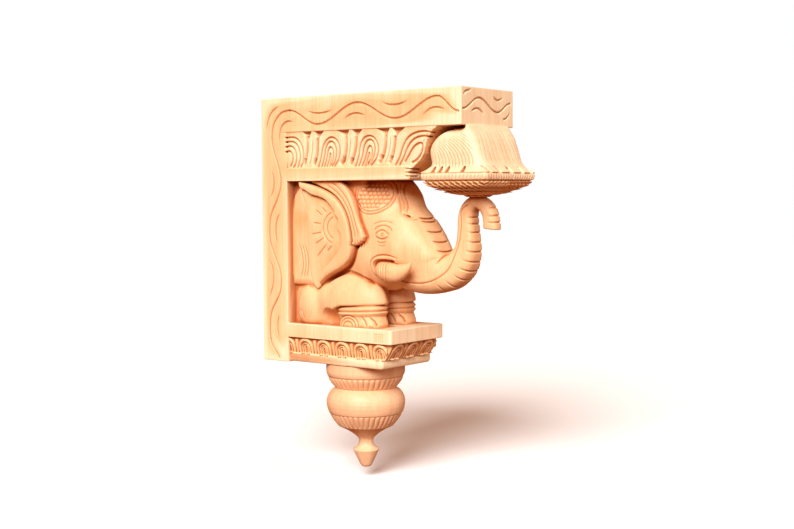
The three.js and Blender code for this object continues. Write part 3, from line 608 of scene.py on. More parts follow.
# Elephant
BODY_OUTLINE = [(32, 38), (112, 38), (128, 60), (128, 190), (32, 190)]
BODY_SIDE = 31
BODY_BALLS = [
    # what it is, centre, radii, soft
    ("haunch", (58, 58, 22), (21, 27, 20.5), 6),
    ("belly", (82, 68, 22), (22, 20, 18), 6),
    ("head", (128, 142, 0), (44, 50, 37), 6),
    ("jaw", (138, 109, 0), (30, 33, 36), 6),
    ("crown", (142, 168, 0), (24, 25, 22), 6),
    ("cheek", (160, 120, 10), (30, 30, 26), 8),
    ("neck", (122, 112, 10), (26, 30, 26), 6),
]
UNDER_KNEE = [(60, 28), (73, 42), (96, 58.5), (103, 61), (150, 63.5)]
TRUNK = [
    # out, up, half thickness, half width, squareness
    (128, 134, 42, 34, 2.6), (148, 126, 41, 34, 2.6), (164, 115.5, 36, 32, 2.6),
    (178, 105, 30, 28, 2.6), (190.5, 97.5, 23, 23, 2.6), (203, 94.5, 17.8, 19, 2.6),
    (214, 97, 16.6, 16.5, 2.8), (224.5, 105, 14.8, 14.5, 3), (231, 118, 11.8, 11.8, 3.2),
    (232, 134, 9.8, 10, 3.2), (231.5, 148, 8.8, 9.2, 3.2), (233, 157, 7.8, 8.9, 3),
    (238, 163, 7, 8.6, 2.8), (244, 164.6, 6.4, 8.4, 2.8), (250.5, 162, 6.5, 8, 2.8),
    (256, 155.5, 7, 7.7, 2.8), (258.2, 147.5, 7.4, 7.5, 2.8), (258.7, 139, 7.9, 7.4, 2.8),
]
FOREHEAD = [
    # up, out
    (148, 176.5), (152, 176), (162, 174), (172, 170), (180, 163.9), (186, 156.9), (192, 148.5),
]
DOME_SIDE = [(148, 25), (160, 25), (170, 24.5), (180, 22.5), (192, 18)]
DOME_POWER = 2.5
DOME_MIDDLE = 132.0
TUSK = [
    # out, up, side, radius
    (149.5, 98.5, 33.5, 6), (156, 97.4, 35, 8.8), (164, 96.2, 36, 9.5), (172, 96, 36.5, 8.6),
    (178, 97.9, 37, 7.2), (183.5, 100.4, 37.5, 5.2), (188, 103.6, 38, 3), (190.5, 107, 38.5, 0.8),
]
LIPS = [
    (153, 86.5), (146.2, 91.5), (141.7, 97.5), (141.3, 104), (145, 108.3), (153, 109.8), (163, 109.4),
]
ROUND_LIPS = [
    (157.7, 83.4), (149, 87), (142.2, 93), (138.4, 101.5), (140.6, 108.8), (149.5, 112.8),
    (162, 112.6), (173, 108.4),
]
TUSK_CREVICE = [
    (152, 88.6), (147.4, 92.6), (144.4, 98), (143.6, 103), (146, 106.4), (151.5, 107.8),
    (159, 107.4), (168, 106),
]
EAR_BACK = [(49, 186), (51.5, 175), (58.5, 159), (60.5, 140), (60.5, 118), (63.5, 92), (67.5, 81), (72, 77)]
EAR_FRONT = [
    (78.5, 83.8), (86, 90.2), (96.5, 95.6), (106.8, 100.8), (114.6, 107.8), (118.2, 116.2),
    (118.6, 126), (116.6, 137.2), (113.4, 148.5), (108, 158.8), (98.3, 169), (88.3, 174.8),
    (76, 179.5), (62, 183.5),
]
EAR_INNER = [
    (75, 80), (76.5, 87), (78.5, 92.5), (82.8, 98.5), (90.6, 105.7), (99.8, 114), (105, 122),
    (105.4, 129), (103.7, 134.7), (100, 139.8), (102.3, 143), (101.6, 148.4), (97.1, 153), (96, 157),
    (91.9, 161.5), (85.9, 166.8), (77.5, 170), (66.7, 172.5), (56, 178),
]
STRAP_BACK = [
    (62, 186), (76, 180.5), (88, 175.8), (98.5, 169.5), (108.3, 159), (113.8, 148.5), (117, 137),
    (118.4, 128), (117.6, 122),
]
STRAP_FRONT = [
    (74, 188), (99, 187), (110.5, 178), (117.6, 168), (122.4, 157.6), (126.6, 146.4), (130.6, 137.4),
    (133.2, 131),
]
STRAP_FOOT = [(130.8, 126.4), (126, 123), (121.6, 122), (118, 122.4)]
NECK = [
    (46, 184), (36, 172), (31, 158), (29.5, 140), (29.5, 110), (30, 90), (34, 79), (66, 79),
    (66, 150), (53, 178),
]
NECK_LINE = np.array([(44, 124), (48.5, 112), (49.5, 98), (46, 85)])
EAR_RAYS = [
    [(70, 158), (81, 151)], [(78, 160.5), (86, 154)], [(67.5, 144.5), (80, 143)],
    [(65, 132), (81, 135)], [(70, 122), (84, 130)], [(71, 108), (87, 124.5)], [(85, 115), (93, 122)],
]
EAR_SUN = (97.8, 139.5)
SHOULDER_CREASE = [
    (77, 80), (84, 86), (94, 91.5), (104, 94.5), (114, 93.8), (124, 90.5), (132, 85.5), (138, 79),
]
HAUNCH_LINES = [[(42, 54), (47, 51), (50, 45)], [(46, 56), (52, 53), (55, 44)]]
LEG = (118, 23)
LEG_RINGS = [
    # up, reach out, reach to the side
    (38, 28.5, 17.5), (44, 27.5, 17.2), (51, 25, 16), (52.4, 26.2, 17.2), (54, 27.6, 18),
    (55.4, 26, 16.8), (56, 25.7, 16.4), (57, 26.8, 17.4), (58.5, 27.4, 17.8), (60, 26, 16.5),
    (62, 24.5, 15), (66, 23, 14),
]
LEG_POWER = 2.6


def carve_trunk(s):
    rows = smoothed(TRUNK, 10)
    cut = s.window((80, 70, 0), (270, 182, 36), 0)
    u, z = s.flat(cut)
    shape = np.broadcast(u, z).shape
    best = np.full(shape, 1e9)
    pick = np.zeros(shape, int)
    for i, (a, b, thick, _, _) in enumerate(rows):
        d = ((u - a) ** 2 + (z - b) ** 2) / thick**2
        pick = np.where(d < best, i, pick)
        best = np.minimum(best, d)
    thick, wide, power = rows[pick, 2][:, :, None], rows[pick, 3][:, :, None], rows[pick, 4][:, :, None]
    x = s.x[cut[2]][None, None, :]
    q = np.sqrt(best)[:, :, None]
    section = (q**power + (x / wide) ** power) ** (1 / power)
    d = (section - 1) * np.minimum(thick, wide)
    run = rows[-1, :2] - rows[-3, :2]
    run /= np.hypot(*run)
    run = np.array([run[0] - 0.13, run[1]])
    end = (u - rows[-1, 0]) * run[0] + (z - rows[-1, 1]) * run[1]
    on_hook = (u > 245) & (z < 158)
    end = np.where(on_hook, end, -FAR)[:, :, None]
    d = met(d, end, 1.6)
    s.field[cut] = merged(s.field[cut], d, 3.0)


def carve_dome(s):
    """Squarish forehead, as far out as its outline at the middle."""
    cut = s.window((128, 148, 0), (188, 192, 30), 3)
    u, z, x = s.axes(cut)
    reach = between(FOREHEAD, z) - DOME_MIDDLE
    wide = between(DOME_SIDE, z)
    a = np.abs(u - DOME_MIDDLE) / reach
    d = ((a**DOME_POWER + (x / wide) ** DOME_POWER) ** (1 / DOME_POWER) - 1) * np.minimum(reach, wide)
    s.field[cut] = merged(s.field[cut], np.maximum(d, 150 - z), 5.0)


def carve_body(s):
    s.block(BODY_OUTLINE, BODY_SIDE, 4, (30, 38, 0), (130, 190, 34))
    for _, centre, radii, soft in BODY_BALLS:
        s.ball(centre, radii, soft)
    carve_dome(s)
    carve_trunk(s)
    knee, low, high = ellipsoid((105, 62, 23), (43, 32.5, 20))
    s.add(lambda u, z, x: met(knee(u, z, x), between(UNDER_KNEE, u) - z, 2.5), low, high, 2.0)


def carve_legs(s):
    cut = s.window((84, 40, 0), (150, 64, 44))
    u, z, x = s.axes(cut)
    level = z - 0.045 * (u - LEG[0])
    reach = between([(up, out) for up, out, _ in LEG_RINGS], level)
    wide = between([(up, side) for up, _, side in LEG_RINGS], level)
    out, side = np.abs((u - LEG[0]) / reach), np.abs((x - LEG[1]) / wide)
    leg = ((out**LEG_POWER + side**LEG_POWER) ** (1 / LEG_POWER) - 1) * wide
    leg = met(leg, np.abs(z - 51) - 12.5, 1)
    s.field[cut] = merged(s.field[cut], leg, 0.8)
    s.take(*ellipsoid((86, 44, 44), (14, 14, 18)), 3)
    for radius in (4.5, 7.5, 10.5):
        s.engrave(arc((112, 41.5), (1.35 * radius, radius), 0, 180, 10), 1.0, 1.1, near=30)
    for place in (128, 136, 143):
        s.engrave([(place, 52), (place + 5, 47), (place + 8, 41)], 1.1, 1.2, near=4, fade=0.3)
    s.engrave_all(HAUNCH_LINES, 1.0, 0.9, near=24, fade=0.3)
    s.engrave(smoothed(SHOULDER_CREASE), 2.6, 2.6, near=16, fade=0.15)


def ear_face(u, z, depth):
    """Height of the ear: a raised rim round a sunk panel."""
    inner = line_distance(u, z, smoothed(EAR_INNER, 3))[0]
    panel = outline_distance(u, z, [*smoothed(EAR_INNER, 3), (40, 188), (40, 60), (74, 68)])
    rim = 43.4 - 1.6 * np.clip(1 - depth / 5.0, 0, 1) ** 2
    sunk = 38.8 + 3.2 * np.clip(-panel / 30.0, 0, 1)
    top = np.where(panel < 0, sunk, rim)
    top = np.where(panel < 0, top, top - 0.9 * np.clip(1 - inner / 2.5, 0, 1) ** 2)
    return top


def strap_face(u, z, depth):
    top = 40.6 - 1.4 * smoothstep(150, 188, z) - 1.2 * np.clip(1 - depth / 3.0, 0, 1) ** 2
    return top + 0.7 * smoothstep(131, 126, z)


def resampled(path, count):
    return path[np.linspace(0, len(path) - 1, count).astype(int)]


def carve_ear(s):
    s.relief(NECK, lambda u, z, depth: 32.5 + 3.9 * np.clip(depth / 7, 0, 1) ** 0.6, 26, 0, 2.5)
    for shift in (0, 3.6, 7.2):
        s.engrave(smoothed(NECK_LINE + (shift, 0)), 1.0, 0.9, near=28, fade=0.2)
    s.engrave(smoothed(EAR_FRONT[:8]), 5.0, 4.0, near=20, fade=0.1)
    s.engrave([*smoothed(STRAP_FRONT[2:]), *STRAP_FOOT], 4.5, 2.4, near=16, fade=0.3, fade_end=0)
    outline = [*smoothed(EAR_BACK, 3), *smoothed(EAR_FRONT, 3)]
    s.relief(outline, ear_face, 27, 0, 1.6)
    strap = [*smoothed(STRAP_FRONT, 4), *STRAP_FOOT, *smoothed(STRAP_BACK[::-1], 4)]
    s.relief(strap, strap_face, 27, 0, 1.4)
    back, front = smoothed(STRAP_BACK, 6), smoothed(STRAP_FRONT, 7)
    count = min(len(back), len(front))
    for share in (0.33, 0.64):
        path = resampled(back, count) * (1 - share) + resampled(front, count) * share
        s.engrave(path[6:-2], 1.0, 0.8, near=30, fade=0.1)
    for place in (120.2, 123.4, 126.6, 129.8):
        s.engrave([(place, 130), (place - 0.6, 121)], 0.9, 1.2, near=30, fade_end=0, fade=0.4)
    s.engrave(smoothed(EAR_INNER, 4), 0.95, 1.2, near=34, fade=0.03)
    s.engrave(smoothed(EAR_INNER[:10], 4), 1.1, 1.4, near=34, fade=0.05)
    s.engrave(smoothed(STRAP_BACK, 4)[2:], 0.9, 1.6, near=33)
    for radius in (16.5, 11.5):
        s.engrave(arc(EAR_SUN, (radius, radius), 100, 262, 12), 0.9, 0.9, near=35, fade=0.15)
    for ray in EAR_RAYS:
        s.engrave(ray, 0.85, 0.9, near=35, fade=0.25)


EYE = (152.8, 133.4)
CAP = (137.5, 171.5)
CAP_RADII = (16.8, 13.4)
BEAD_PITCH = (4.6, 4.1)
LIDS = [
    ([(143.4, 132.6), (147.8, 136.4), (152.6, 137.5), (157.2, 135.6), (160.8, 132.2)], 0.9, 1.2),
    ([(143.4, 132.6), (147.2, 130), (151.9, 128.8), (156.8, 129.6), (160.8, 132.2)], 0.9, 1.0),
    ([(142, 136.8), (147.4, 141), (153.4, 142.2), (159.9, 140.2), (164.4, 135.8)], 0.9, 0.9),
    ([(141.2, 142), (146.4, 145), (154.9, 146.2), (163.4, 144.4)], 1.1, 0.6),
    ([(145.9, 126.6), (151.8, 124.9), (158.2, 126.4)], 0.9, 0.8),
    ([(147.4, 123.4), (152.4, 121.8), (157.9, 123.4)], 0.9, 0.6),
]
HEADBAND = [
    [(155.3, 184), (157.2, 179), (161, 171), (163.8, 162), (166.9, 154.8), (171.5, 151.5), (178, 151.3)],
    [(158, 184), (160, 178.3), (164.2, 168.5), (166.8, 160.8), (169.3, 153.8), (174, 150.3), (181, 149.6)],
    [(160.8, 184), (162.6, 177.7), (167.2, 166.5), (169.6, 159.7), (171.5, 153), (176.5, 148.5),
     (184, 147.5)],
]
FRONT_LINES = (149.5, 146.2, 136.3, 126.6, 117.6)
UNDER_LINES = [
    [(256, 158), (267, 162)], [(256, 151), (270, 152.5)], [(256, 145.5), (270, 145.5)],
    [(234, 150), (246, 150)], [(234, 144), (247, 143.5)], [(235, 136), (248, 135)],
    [(235, 127), (249, 125.5)], [(233, 118.5), (250, 115.5)], [(230, 110.5), (249, 104.5)],
    [(226.5, 103.5), (245, 94.5)], [(221.5, 97), (237, 85)], [(214, 91), (226, 77)],
    [(205, 87), (213, 73)],
]


def carve_face(s):
    s.engrave([(149, 133.4), (155.5, 133.2)], 4.4, -0.6, near=22)
    for path, width, depth in LIDS:
        s.engrave(smoothed(path), width, depth, near=22, fade=0.12)
    s.engrave(arc(EYE, (1.3, 1.3), 0, 360, 12), 0.8, 0.9, near=22)

    # Cap of beads in a dish, between two rings
    s.engrave([(CAP[0] - 5, CAP[1]), (CAP[0] + 5, CAP[1])], CAP_RADII[1] + 1, 1.1, near=8)
    for row in range(9):
        for column in range(11):
            u = CAP[0] - 5 * BEAD_PITCH[0] + (column + (row % 2) / 2) * BEAD_PITCH[0]
            z = CAP[1] + (row - 3.5) * BEAD_PITCH[1]
            if ((u - CAP[0]) / CAP_RADII[0]) ** 2 + ((z - CAP[1]) / CAP_RADII[1]) ** 2 < 1:
                s.engrave([(u, z), (u + 0.1, z)], 2.0, -2.0, near=8)
    for grow in (2.2, 5.0):
        ring = arc(CAP, (CAP_RADII[0] + grow, CAP_RADII[1] + grow), -215, 62, 26)
        s.engrave(ring, 1.0, 1.0, near=6, fade=0.08)

    # Headband beside the forehead, and the wrinkles over the front of the trunk
    s.engrave_all(HEADBAND, 1.1, 1.2, near=0, far=34, fade=0.08, fade_end=0.1)
    for z in FRONT_LINES:
        reach = 15 - (z - 117) * 0.03
        path = [(-2, z - 1.4), (6, z - 1.1), (11, z - 0.2), (reach, z + 1.2)]
        s.engrave_end(path, 1.15, 1.5, 150, 214, fade_end=0.35)
    s.engrave_end([(16.5, 150), (16.5, 138), (16, 124), (15, 112)], 3.0, 0.5, 150, 205, fade=0.25)
    for path in UNDER_LINES:
        s.engrave(path, 1.1, 1.2, near=-1, fade=0.5, fade_end=0)
    s.engrave(smoothed([
        (163, 91), (170, 88), (180, 86), (190, 85.8), (200, 88), (210, 93), (218, 100), (222, 108),
        (225, 118), (228, 130), (229, 145), (228, 155), (232, 160), (240, 163),
    ], 3), 1.1, 1.1, near=3, fade=0.05)


def carve_tusk(s):
    rows = smoothed(TUSK, 8)
    cut = s.window((138, 84, 20), (194, 113, 45), 0)
    u, z, x = s.axes(cut)
    d = np.full(np.broadcast(u, z, x).shape, 1e9)
    for a, b, c, radius in rows:
        ball = np.sqrt((u - a) ** 2 + (z - b) ** 2 + ((x - c) / 0.85) ** 2) - max(radius, 0.6)
        d = np.minimum(d, ball * 0.9)
    s.engrave(smoothed(LIPS), 3.2, -1.7, near=22, fade=0.25)
    s.engrave(smoothed(ROUND_LIPS), 1.1, 1.2, near=22, fade=0.15)
    s.engrave(smoothed(TUSK_CREVICE), 1.9, 4.2, near=22, fade=0.15)
    s.field[cut] = merged(s.field[cut], d.astype(np.float32), 0)
    for place in (155.5, 158.5, 162):
        s.engrave(smoothed([(place - 1.5, 107), (place + 1.2, 97), (place - 0.4, 86)]), 0.9, 0.9, near=26)


def mesh_of(field):
    """The surface of the whole block as one mesh, in places of the grid, with its hidden middle joined."""
    whole = np.concatenate([field[:, :, ::-1], field], axis=2)
    carve_beam_end(whole)
    whole = np.clip(whole, -FAR / 2, FAR / 2)
    grid = openvdb.FloatGrid(FAR / 2)
    grid.copyFromArray(np.ascontiguousarray(whole))
    points, quads = grid.convertToQuads(isovalue=0.0)
    return whole, points, quads


def carve_beam_end(whole):
    """Cuts the waves in the end of the beam, which aren't the same on both sides."""
    first, last = np.searchsorted(sculpt.u, (BEAM_LENGTH - 5, BEAM_LENGTH + 3))
    low = np.searchsorted(sculpt.z, BEAM_FOOT + 2)
    z = sculpt.z[low:][:, None]
    x = np.concatenate([-sculpt.x[::-1], sculpt.x])[None, :]
    for paths, depth, fade in ((END_WAVES, WAVE_DEPTH, 0.0), (END_ARCS, 1.4, 0.3)):
        for path in paths:
            d, place = line_distance(x, z, smoothed(path) if fade else path)
            mark = line_mark(d, place, WAVE_WIDTH, depth, fade)
            whole[first:last, low:, :] += mark[None].astype(np.float32)


def averaged(volume, reach):
    """Box average over a few cells each way, three axes."""
    for axis in range(3):
        padded = np.concatenate([np.zeros_like(volume.take([0], axis)), np.cumsum(volume, axis)], axis)
        count = volume.shape[axis]
        high = np.minimum(np.arange(count) + reach + 1, count)
        low = np.maximum(np.arange(count) - reach, 0)
        spans = (high - low).reshape([-1 if i == axis else 1 for i in range(3)])
        volume = (padded.take(high, axis) - padded.take(low, axis)) / spans
    return volume


def hollowness(whole, points, reach):
    """Share of solid wood round each point: over one half in a hollow, under it on an edge."""
    solid = (np.clip(0.5 - whole / VOXEL, 0, 1)).astype(np.float32)
    solid = averaged(averaged(solid, reach), reach)
    index = np.clip(points, 0, np.array(whole.shape) - 1.001)
    base = index.astype(int)
    part = index - base
    total = np.zeros(len(points))
    for corner in range(8):
        offset = np.array([corner & 1, corner >> 1 & 1, corner >> 2 & 1])
        weight = np.prod(np.where(offset, part, 1 - part), axis=1)
        total += weight * solid[tuple((base + offset).T)]
    return total


def to_row(points):
    """Grid places to metres in the frame of the row."""
    side = (points[:, 2] - len(sculpt.x) + 0.5) * VOXEL
    out = points[:, 0] * VOXEL + GRID_LOW[0]
    up = points[:, 1] * VOXEL + GRID_LOW[1]
    return np.stack([side, -out, up - PLATE_HEIGHT / 2], axis=1) / 1000


def to_grid(points):
    mm = points * 1000
    return np.stack([
        (-mm[:, 1] - GRID_LOW[0]) / VOXEL,
        (mm[:, 2] + PLATE_HEIGHT / 2 - GRID_LOW[1]) / VOXEL,
        mm[:, 0] / VOXEL + len(sculpt.x) - 0.5,
    ], axis=1)


def new_piece(name, points, faces):
    mesh = bpy.data.meshes.new(name)
    if isinstance(faces, np.ndarray):
        count, corners = faces.shape
        mesh.vertices.add(len(points))
        mesh.vertices.foreach_set("co", np.asarray(points, np.float32).ravel())
        mesh.loops.add(count * corners)
        mesh.loops.foreach_set("vertex_index", np.ascontiguousarray(faces, np.int32).ravel())
        mesh.polygons.add(count)
        mesh.polygons.foreach_set("loop_start", np.arange(0, count * corners, corners, np.int32))
    else:
        mesh.from_pydata(points, [], faces)
    mesh.update(calc_edges=True)
    piece = bpy.data.objects.new(name, mesh)
    bpy.context.scene.collection.objects.link(piece)
    return piece


def apply_modifiers(piece):
    graph = bpy.context.evaluated_depsgraph_get()
    changed = bpy.data.meshes.new_from_object(piece.evaluated_get(graph))
    piece.modifiers.clear()
    old, piece.data = piece.data, changed
    bpy.data.meshes.remove(old)
    changed.name = piece.name


# Painted shade: the elephant and the walls of its niche under the beam are tinted darker and redder.
def in_niche(out, up, side):
    """True on the elephant and the walls of its niche, at any distance to the side."""
    under = np.where(out > FILLET_END, LOTUS_FOOT, FILLET_FOOT) - NEAR
    return (out > PLATE_THICKNESS + NEAR) & (up > LEDGE_TOP + 0.2) & (up < under)


def on_lotus(out, up, side):
    """True on the lip and the bell of the lotus, at any distance to the side."""
    return (out > between(BELL_BACK, up) + 0.6) & (up > LIP_FOOT + 0.2) & (up < BEAM_FOOT)


# Painted shade: behind and under the lotus and on the carved moulding of the ledge the wood is tinted
# darker and redder.
def in_recess(out, up, side):
    """True behind the lotus, under its lip and on the carved edge of the ledge."""
    behind = (out > FILLET_END - 2) & (out < between(BELL_BACK, up) + 0.6) & (side < HALF_WIDTH - 1.6)
    behind &= (up > LIP_CREST) & (up < BEAM_FOOT)
    below = (out > FILLET_END) & (up > LOTUS_FOOT - NEAR) & (up < LIP_FOOT + 0.2)
    mould = (out > PLATE_THICKNESS + NEAR) & (up > LIP_TOP - 0.2) & (up < MOULD_TOP + 0.1)
    return behind | below | mould


def set_values(mesh, name, values):
    attribute = mesh.attributes.new(name, "FLOAT", "POINT")
    attribute.data.foreach_set("value", values.astype(np.float32))


def carved_block():
    whole, points, quads = mesh_of(sculpt.field)
    piece = new_piece("carved_block", to_row(points), quads[:, ::-1])
    shrink = piece.modifiers.new("shrink", "DECIMATE")
    shrink.ratio = min(1.0, MOST_TRIANGLES / (2 * len(quads)))
    apply_modifiers(piece)
    mesh = piece.data
    places = np.empty(3 * len(mesh.vertices), np.float32)
    mesh.vertices.foreach_get("co", places)
    places = to_grid(places.reshape(-1, 3).astype(float))
    # Painted shade: the share of solid wood round each point, near and wider, darkens crevices and hollows
    # where shade falls.
    for name, reach in (("crevice_shade", CREVICE_REACH), ("hollow", HOLLOW_REACH)):
        set_values(mesh, name, hollowness(whole, places, reach))
    out = places[:, 0] * VOXEL + GRID_LOW[0]
    up = places[:, 1] * VOXEL + GRID_LOW[1]
    side = np.abs(places[:, 2] - len(sculpt.x) + 0.5) * VOXEL
    # The niche and recess masks set painted shade; the lotus mask sets a slight tint of the lotus.
    for name, where in (("niche_shade", in_niche), ("recess_shade", in_recess), ("lotus", on_lotus)):
        set_values(mesh, name, where(out, up, side))
    mesh.shade_smooth()
    mesh.set_sharp_from_angle(angle=math.radians(42))
    even = piece.modifiers.new("even", "WEIGHTED_NORMAL")
    even.keep_sharp = True
    apply_modifiers(piece)
    return piece


sculpt = Sculpt()
carve_body(sculpt)
figure_window = sculpt.window((GRID_LOW[0], LEDGE_TOP - 3, 0), (272, 192, GRID_SIDE), 0)
sculpt.field[figure_window] = evened(sculpt.field[figure_window])
carve_face(sculpt)
carve_tusk(sculpt)
carve_ear(sculpt)
carve_legs(sculpt)
side_limit = sculpt.x[None, None, :] - HALF_WIDTH + 0.2
sculpt.field = np.maximum(sculpt.field, side_limit)
carve_ledge(sculpt)
carve_frame(sculpt)
carve_frieze(sculpt)
carve_lotus(sculpt)
block = carved_block()
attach(block, "root")
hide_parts("carved_bracket")

# Turned pendant
PENDANT = [
    # drop, radius, depth of the flutes
    (0, 40.7, 0), (9, 40.6, 0), (12.2, 39.6, 0), (12.8, 38.6, 0), (13.3, 38.2, 0.2),
    (14, 38.7, 1.2), (16.5, 38, 1.9), (19.5, 36.2, 2), (22.5, 33.8, 1.7), (24.2, 32.2, 0.6),
    (24.9, 30.8, 0), (25.8, 32, 0), (28, 35.6, 0), (31, 38, 0), (35, 39.8, 0), (39, 40.6, 0),
    (43, 40.4, 0), (47.5, 39.3, 0), (50.6, 38, 0), (51.3, 36.8, 0), (52, 37.2, 1.2),
    (55, 35.8, 2), (59, 33.2, 2), (62.5, 30.4, 1.4), (64, 28.9, 0.2), (64.8, 28.3, 0),
    (65.6, 26.6, 0), (67.5, 22.4, 0), (70, 18.2, 0), (72.5, 14.4, 0), (75, 11.2, 0),
    (77.5, 8.6, 0), (79.5, 7.5, 0), (83, 7.4, 0), (85.5, 8.2, 0), (87.5, 10.2, 0),
    (89.2, 13.2, 0), (90, 13.4, 0), (91, 13, 0), (98, 9.8, 0), (104, 6.9, 0), (106.5, 5.6, 0),
    (107.6, 4.2, 0), (108, 2.4, 0),
]
FLUTES = 40
COLUMNS = 360


def fluted_pendant():
    rows = []
    for (d0, r0, f0), (d1, r1, f1) in zip(PENDANT, PENDANT[1:]):
        count = max(1, round(math.hypot(d1 - d0, r1 - r0) / 1.1))
        for i in range(count):
            t = i / count
            rows.append((d0 + (d1 - d0) * t, r0 + (r1 - r0) * t, f0 + (f1 - f0) * t))
    rows.append(PENDANT[-1])
    angles = np.arange(COLUMNS) * 2 * math.pi / COLUMNS
    points = []
    for drop, radius, flute in rows:
        r = radius - flute * (1 - np.abs(np.sin(angles * FLUTES / 2)) ** 0.7)
        points += list(zip(r * np.cos(angles), -PENDANT_AXIS - r * np.sin(angles),
                           np.full(COLUMNS, -drop)))
    top, foot = len(points), len(points) + 1
    points += [(0, -PENDANT_AXIS, 0), (0, -PENDANT_AXIS, -PENDANT_DROP)]
    faces = []
    for i in range(len(rows) - 1):
        for j in range(COLUMNS):
            a, b = i * COLUMNS + j, i * COLUMNS + (j + 1) % COLUMNS
            faces.append((a, b, b + COLUMNS, a + COLUMNS))
    last = (len(rows) - 1) * COLUMNS
    for j in range(COLUMNS):
        k = (j + 1) % COLUMNS
        faces += [(top, k, j), (foot, last + j, last + k)]
    points = np.array(points)
    points[:, 2] -= PLATE_HEIGHT / 2
    piece = new_piece("pendant", points / 1000, faces)
    piece.data.shade_smooth()
    piece.data.set_sharp_from_angle(angle=math.radians(50))
    return piece


pendant = fluted_pendant()
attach(pendant, "root")
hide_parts("turned_pendant")


# Wood
class Nodes:
    def __init__(self, material):
        self.tree = material.node_tree

    def add(self, kind, inputs=None, **settings):
        node = self.tree.nodes.new(kind)
        for key, value in settings.items():
            setattr(node, key, value)
        for key, value in (inputs or {}).items():
            if isinstance(value, bpy.types.NodeSocket):
                self.tree.links.new(value, node.inputs[key])
            else:
                node.inputs[key].default_value = value
        return node

    def ramp(self, value, stops):
        node = self.add("ShaderNodeValToRGB", {"Fac": value})
        colours = node.color_ramp
        while len(colours.elements) < len(stops):
            colours.elements.new(0.5)
        for element, (place, colour) in zip(colours.elements, stops):
            element.position = place
            element.color = (*colour, 1)
        return node.outputs["Color"]

    def mix(self, share, a, b, blend="MIX"):
        node = self.add("ShaderNodeMix", data_type="RGBA", blend_type=blend)
        for socket, value in ((node.inputs[0], share), (node.inputs[6], a), (node.inputs[7], b)):
            if isinstance(value, bpy.types.NodeSocket):
                self.tree.links.new(value, socket)
            else:
                socket.default_value = value if isinstance(value, float) else (*value, 1)
        return node.outputs[2]


TURNED_TINT = (0.94, 0.74, 0.66)
WHITE = (1, 1, 1)
# Painted shade: the crevice, hollow, niche and recess tints darken and redden the wood where shade falls;
# the lotus tint makes it a little pinker and darker.
TINTS = [
    # values of the mesh, share, colour at each value
    ("crevice_shade", 0.75, [(0.515, WHITE), (0.60, (0.70, 0.42, 0.25)), (0.78, (0.40, 0.14, 0.05))]),
    ("hollow", 0.75, [(0.53, WHITE), (0.64, (0.93, 0.70, 0.50)), (0.82, (0.72, 0.32, 0.14))]),
    ("niche_shade", 1.0, [(0, WHITE), (1, (0.92, 0.69, 0.54))]),
    ("recess_shade", 1.0, [(0, WHITE), (1, (0.98, 0.76, 0.58))]),
    ("lotus", 1.0, [(0, WHITE), (1, (0.97, 0.90, 0.87))]),
]


def wood(name, hollows=True):
    """Pale oiled wood with upright grain, with painted shade, darker and redder, in its crevices, hollows
    and recesses and on the elephant in its niche.
    """
    material = bpy.data.materials.new(name)
    material.use_nodes = True
    n = Nodes(material)
    shader = material.node_tree.nodes["Principled BSDF"]
    place = n.add("ShaderNodeTexCoord").outputs["Object"]
    grain_space = n.add("ShaderNodeMapping", {"Vector": place, "Scale": (1, 1, 0.035)}).outputs[0]
    patch_space = n.add("ShaderNodeMapping", {"Vector": place, "Scale": (1, 1, 0.30)}).outputs[0]
    fine = n.add("ShaderNodeTexNoise", {"Vector": grain_space, "Scale": 620, "Detail": 3}).outputs[0]
    broad = n.add("ShaderNodeTexNoise", {"Vector": grain_space, "Scale": 95, "Detail": 4}).outputs[0]
    patch = n.add("ShaderNodeTexNoise", {"Vector": patch_space, "Scale": 16, "Detail": 2}).outputs[0]
    base = n.ramp(broad, [(0.30, (0.78, 0.59, 0.375)), (0.50, (0.82, 0.645, 0.425)),
                          (0.70, (0.85, 0.69, 0.475))])
    streak = n.ramp(fine, [(0.36, (0.95, 0.88, 0.80)), (0.56, WHITE)])
    colour = n.mix(0.75, base, streak, "MULTIPLY")
    tint = n.ramp(patch, [(0.36, (0.98, 0.89, 0.84)), (0.60, WHITE)])
    colour = n.mix(0.8, colour, tint, "MULTIPLY")
    if hollows:
        for values, share, stops in TINTS:
            value = n.add("ShaderNodeAttribute", attribute_name=values).outputs["Fac"]
            colour = n.mix(share, colour, n.ramp(value, stops), "MULTIPLY")
    else:
        colour = n.mix(1.0, colour, TURNED_TINT, "MULTIPLY")
    material.node_tree.links.new(colour, shader.inputs["Base Color"])
    rough = n.add("ShaderNodeMapRange", {"Value": fine, "To Min": 0.42, "To Max": 0.60}).outputs[0]
    material.node_tree.links.new(rough, shader.inputs["Roughness"])
    bump = n.add("ShaderNodeBump", {"Height": fine, "Strength": 0.12, "Distance": 0.0006})
    material.node_tree.links.new(bump.outputs[0], shader.inputs["Normal"])
    shader.inputs["Specular IOR Level"].default_value = 0.35
    return material


block.data.materials.clear()
block.data.materials.append(wood("carved_wood"))
pendant.data.materials.append(wood("turned_wood", hollows=False))


# Stage, light and camera
def stage_floor():
    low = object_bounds()[0].z - 0.012
    size = 6.0
    piece = new_piece("floor", [(-size, -size, low), (size, -size, low), (size, size, low),
                                (-size, size, low)], [(0, 1, 2, 3)])
    material = bpy.data.materials.new("floor")
    material.use_nodes = True
    shader = material.node_tree.nodes["Principled BSDF"]
    shader.inputs["Base Color"].default_value = (0.95, 0.95, 0.95, 1)
    shader.inputs["Roughness"].default_value = 0.9
    piece.data.materials.append(material)
    piece.visible_diffuse = False
    piece.visible_glossy = False


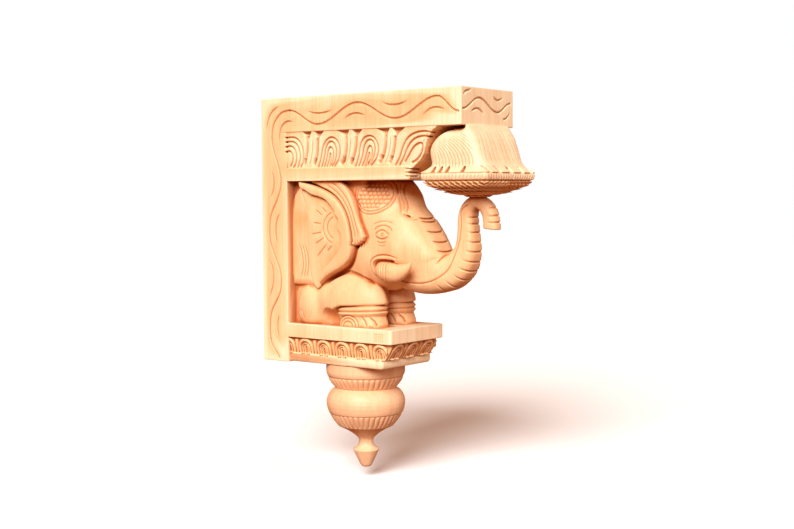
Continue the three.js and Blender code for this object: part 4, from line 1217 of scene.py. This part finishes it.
def soft_sun(name, place, strength, spread):
    """A wide soft light from the side of place, the same all over the floor."""
    data = bpy.data.lights.new(name, "SUN")
    data.energy = strength
    data.angle = math.radians(spread)
    light = bpy.data.objects.new(name, data)
    light.rotation_euler = (-Vector(place)).to_track_quat("-Z", "Y").to_euler()
    bpy.context.scene.collection.objects.link(light)


SKY_GLOW = (0.38, 0.17, 0.08)
FLOOR_GLOW = (0.38, 0.11, 0.03)


def studio_glow():
    """A faint glow, redder from below, as light comes back from wood. The backdrop itself is white."""
    world = bpy.data.worlds.new("studio")
    world.use_nodes = True
    backdrop = world.node_tree.nodes["Background"]
    sky = Nodes(world)
    sight = sky.add("ShaderNodeLightPath").outputs["Is Camera Ray"]
    aim = sky.add("ShaderNodeTexCoord").outputs["Generated"]
    height = sky.add("ShaderNodeSeparateXYZ", {"Vector": aim}).outputs["Z"]
    span = {"Value": height, "From Min": -0.25, "From Max": 0.15}
    share = sky.add("ShaderNodeMapRange", span).outputs[0]
    glow = sky.mix(share, FLOOR_GLOW, SKY_GLOW)
    world.node_tree.links.new(sky.mix(sight, glow, WHITE), backdrop.inputs["Color"])
    bpy.context.scene.world = world


stage_floor()
studio_glow()
soft_sun("key", (-1.30, -0.50, 0.90), 5.5, 32)
soft_sun("front", (0.10, -1.40, 0.60), 1.0, 50)
bpy.context.scene.view_settings.view_transform = "Standard"

CAMERA_PLACE = (-1.00796, -0.92940, 0.03656)
CAMERA_YAW = math.radians(37.924)
CAMERA_PITCH = math.radians(-3.157)
CAMERA_ROLL = math.radians(-0.301)
CAMERA_LENS = 57.68
SENSOR = 36.0


def photo_camera():
    yaw, pitch, roll = CAMERA_YAW, CAMERA_PITCH, CAMERA_ROLL
    forward = Vector((math.cos(pitch) * math.cos(yaw), math.cos(pitch) * math.sin(yaw), math.sin(pitch)))
    right = Vector((math.sin(yaw), -math.cos(yaw), 0))
    up = right.cross(forward)
    r = math.cos(roll) * right + math.sin(roll) * up
    u = -math.sin(roll) * right + math.cos(roll) * up
    turn = Matrix((r, u, -forward)).transposed().to_4x4()
    data = bpy.data.cameras.new("camera")
    data.sensor_width = SENSOR
    data.lens = CAMERA_LENS
    data.clip_start = 0.05
    data.clip_end = 50
    camera = bpy.data.objects.new("camera", data)
    camera.matrix_world = Matrix.Translation(Vector(CAMERA_PLACE)) @ turn
    bpy.context.scene.collection.objects.link(camera)
    bpy.context.scene.camera = camera


photo_camera()
bpy.context.view_layer.update()
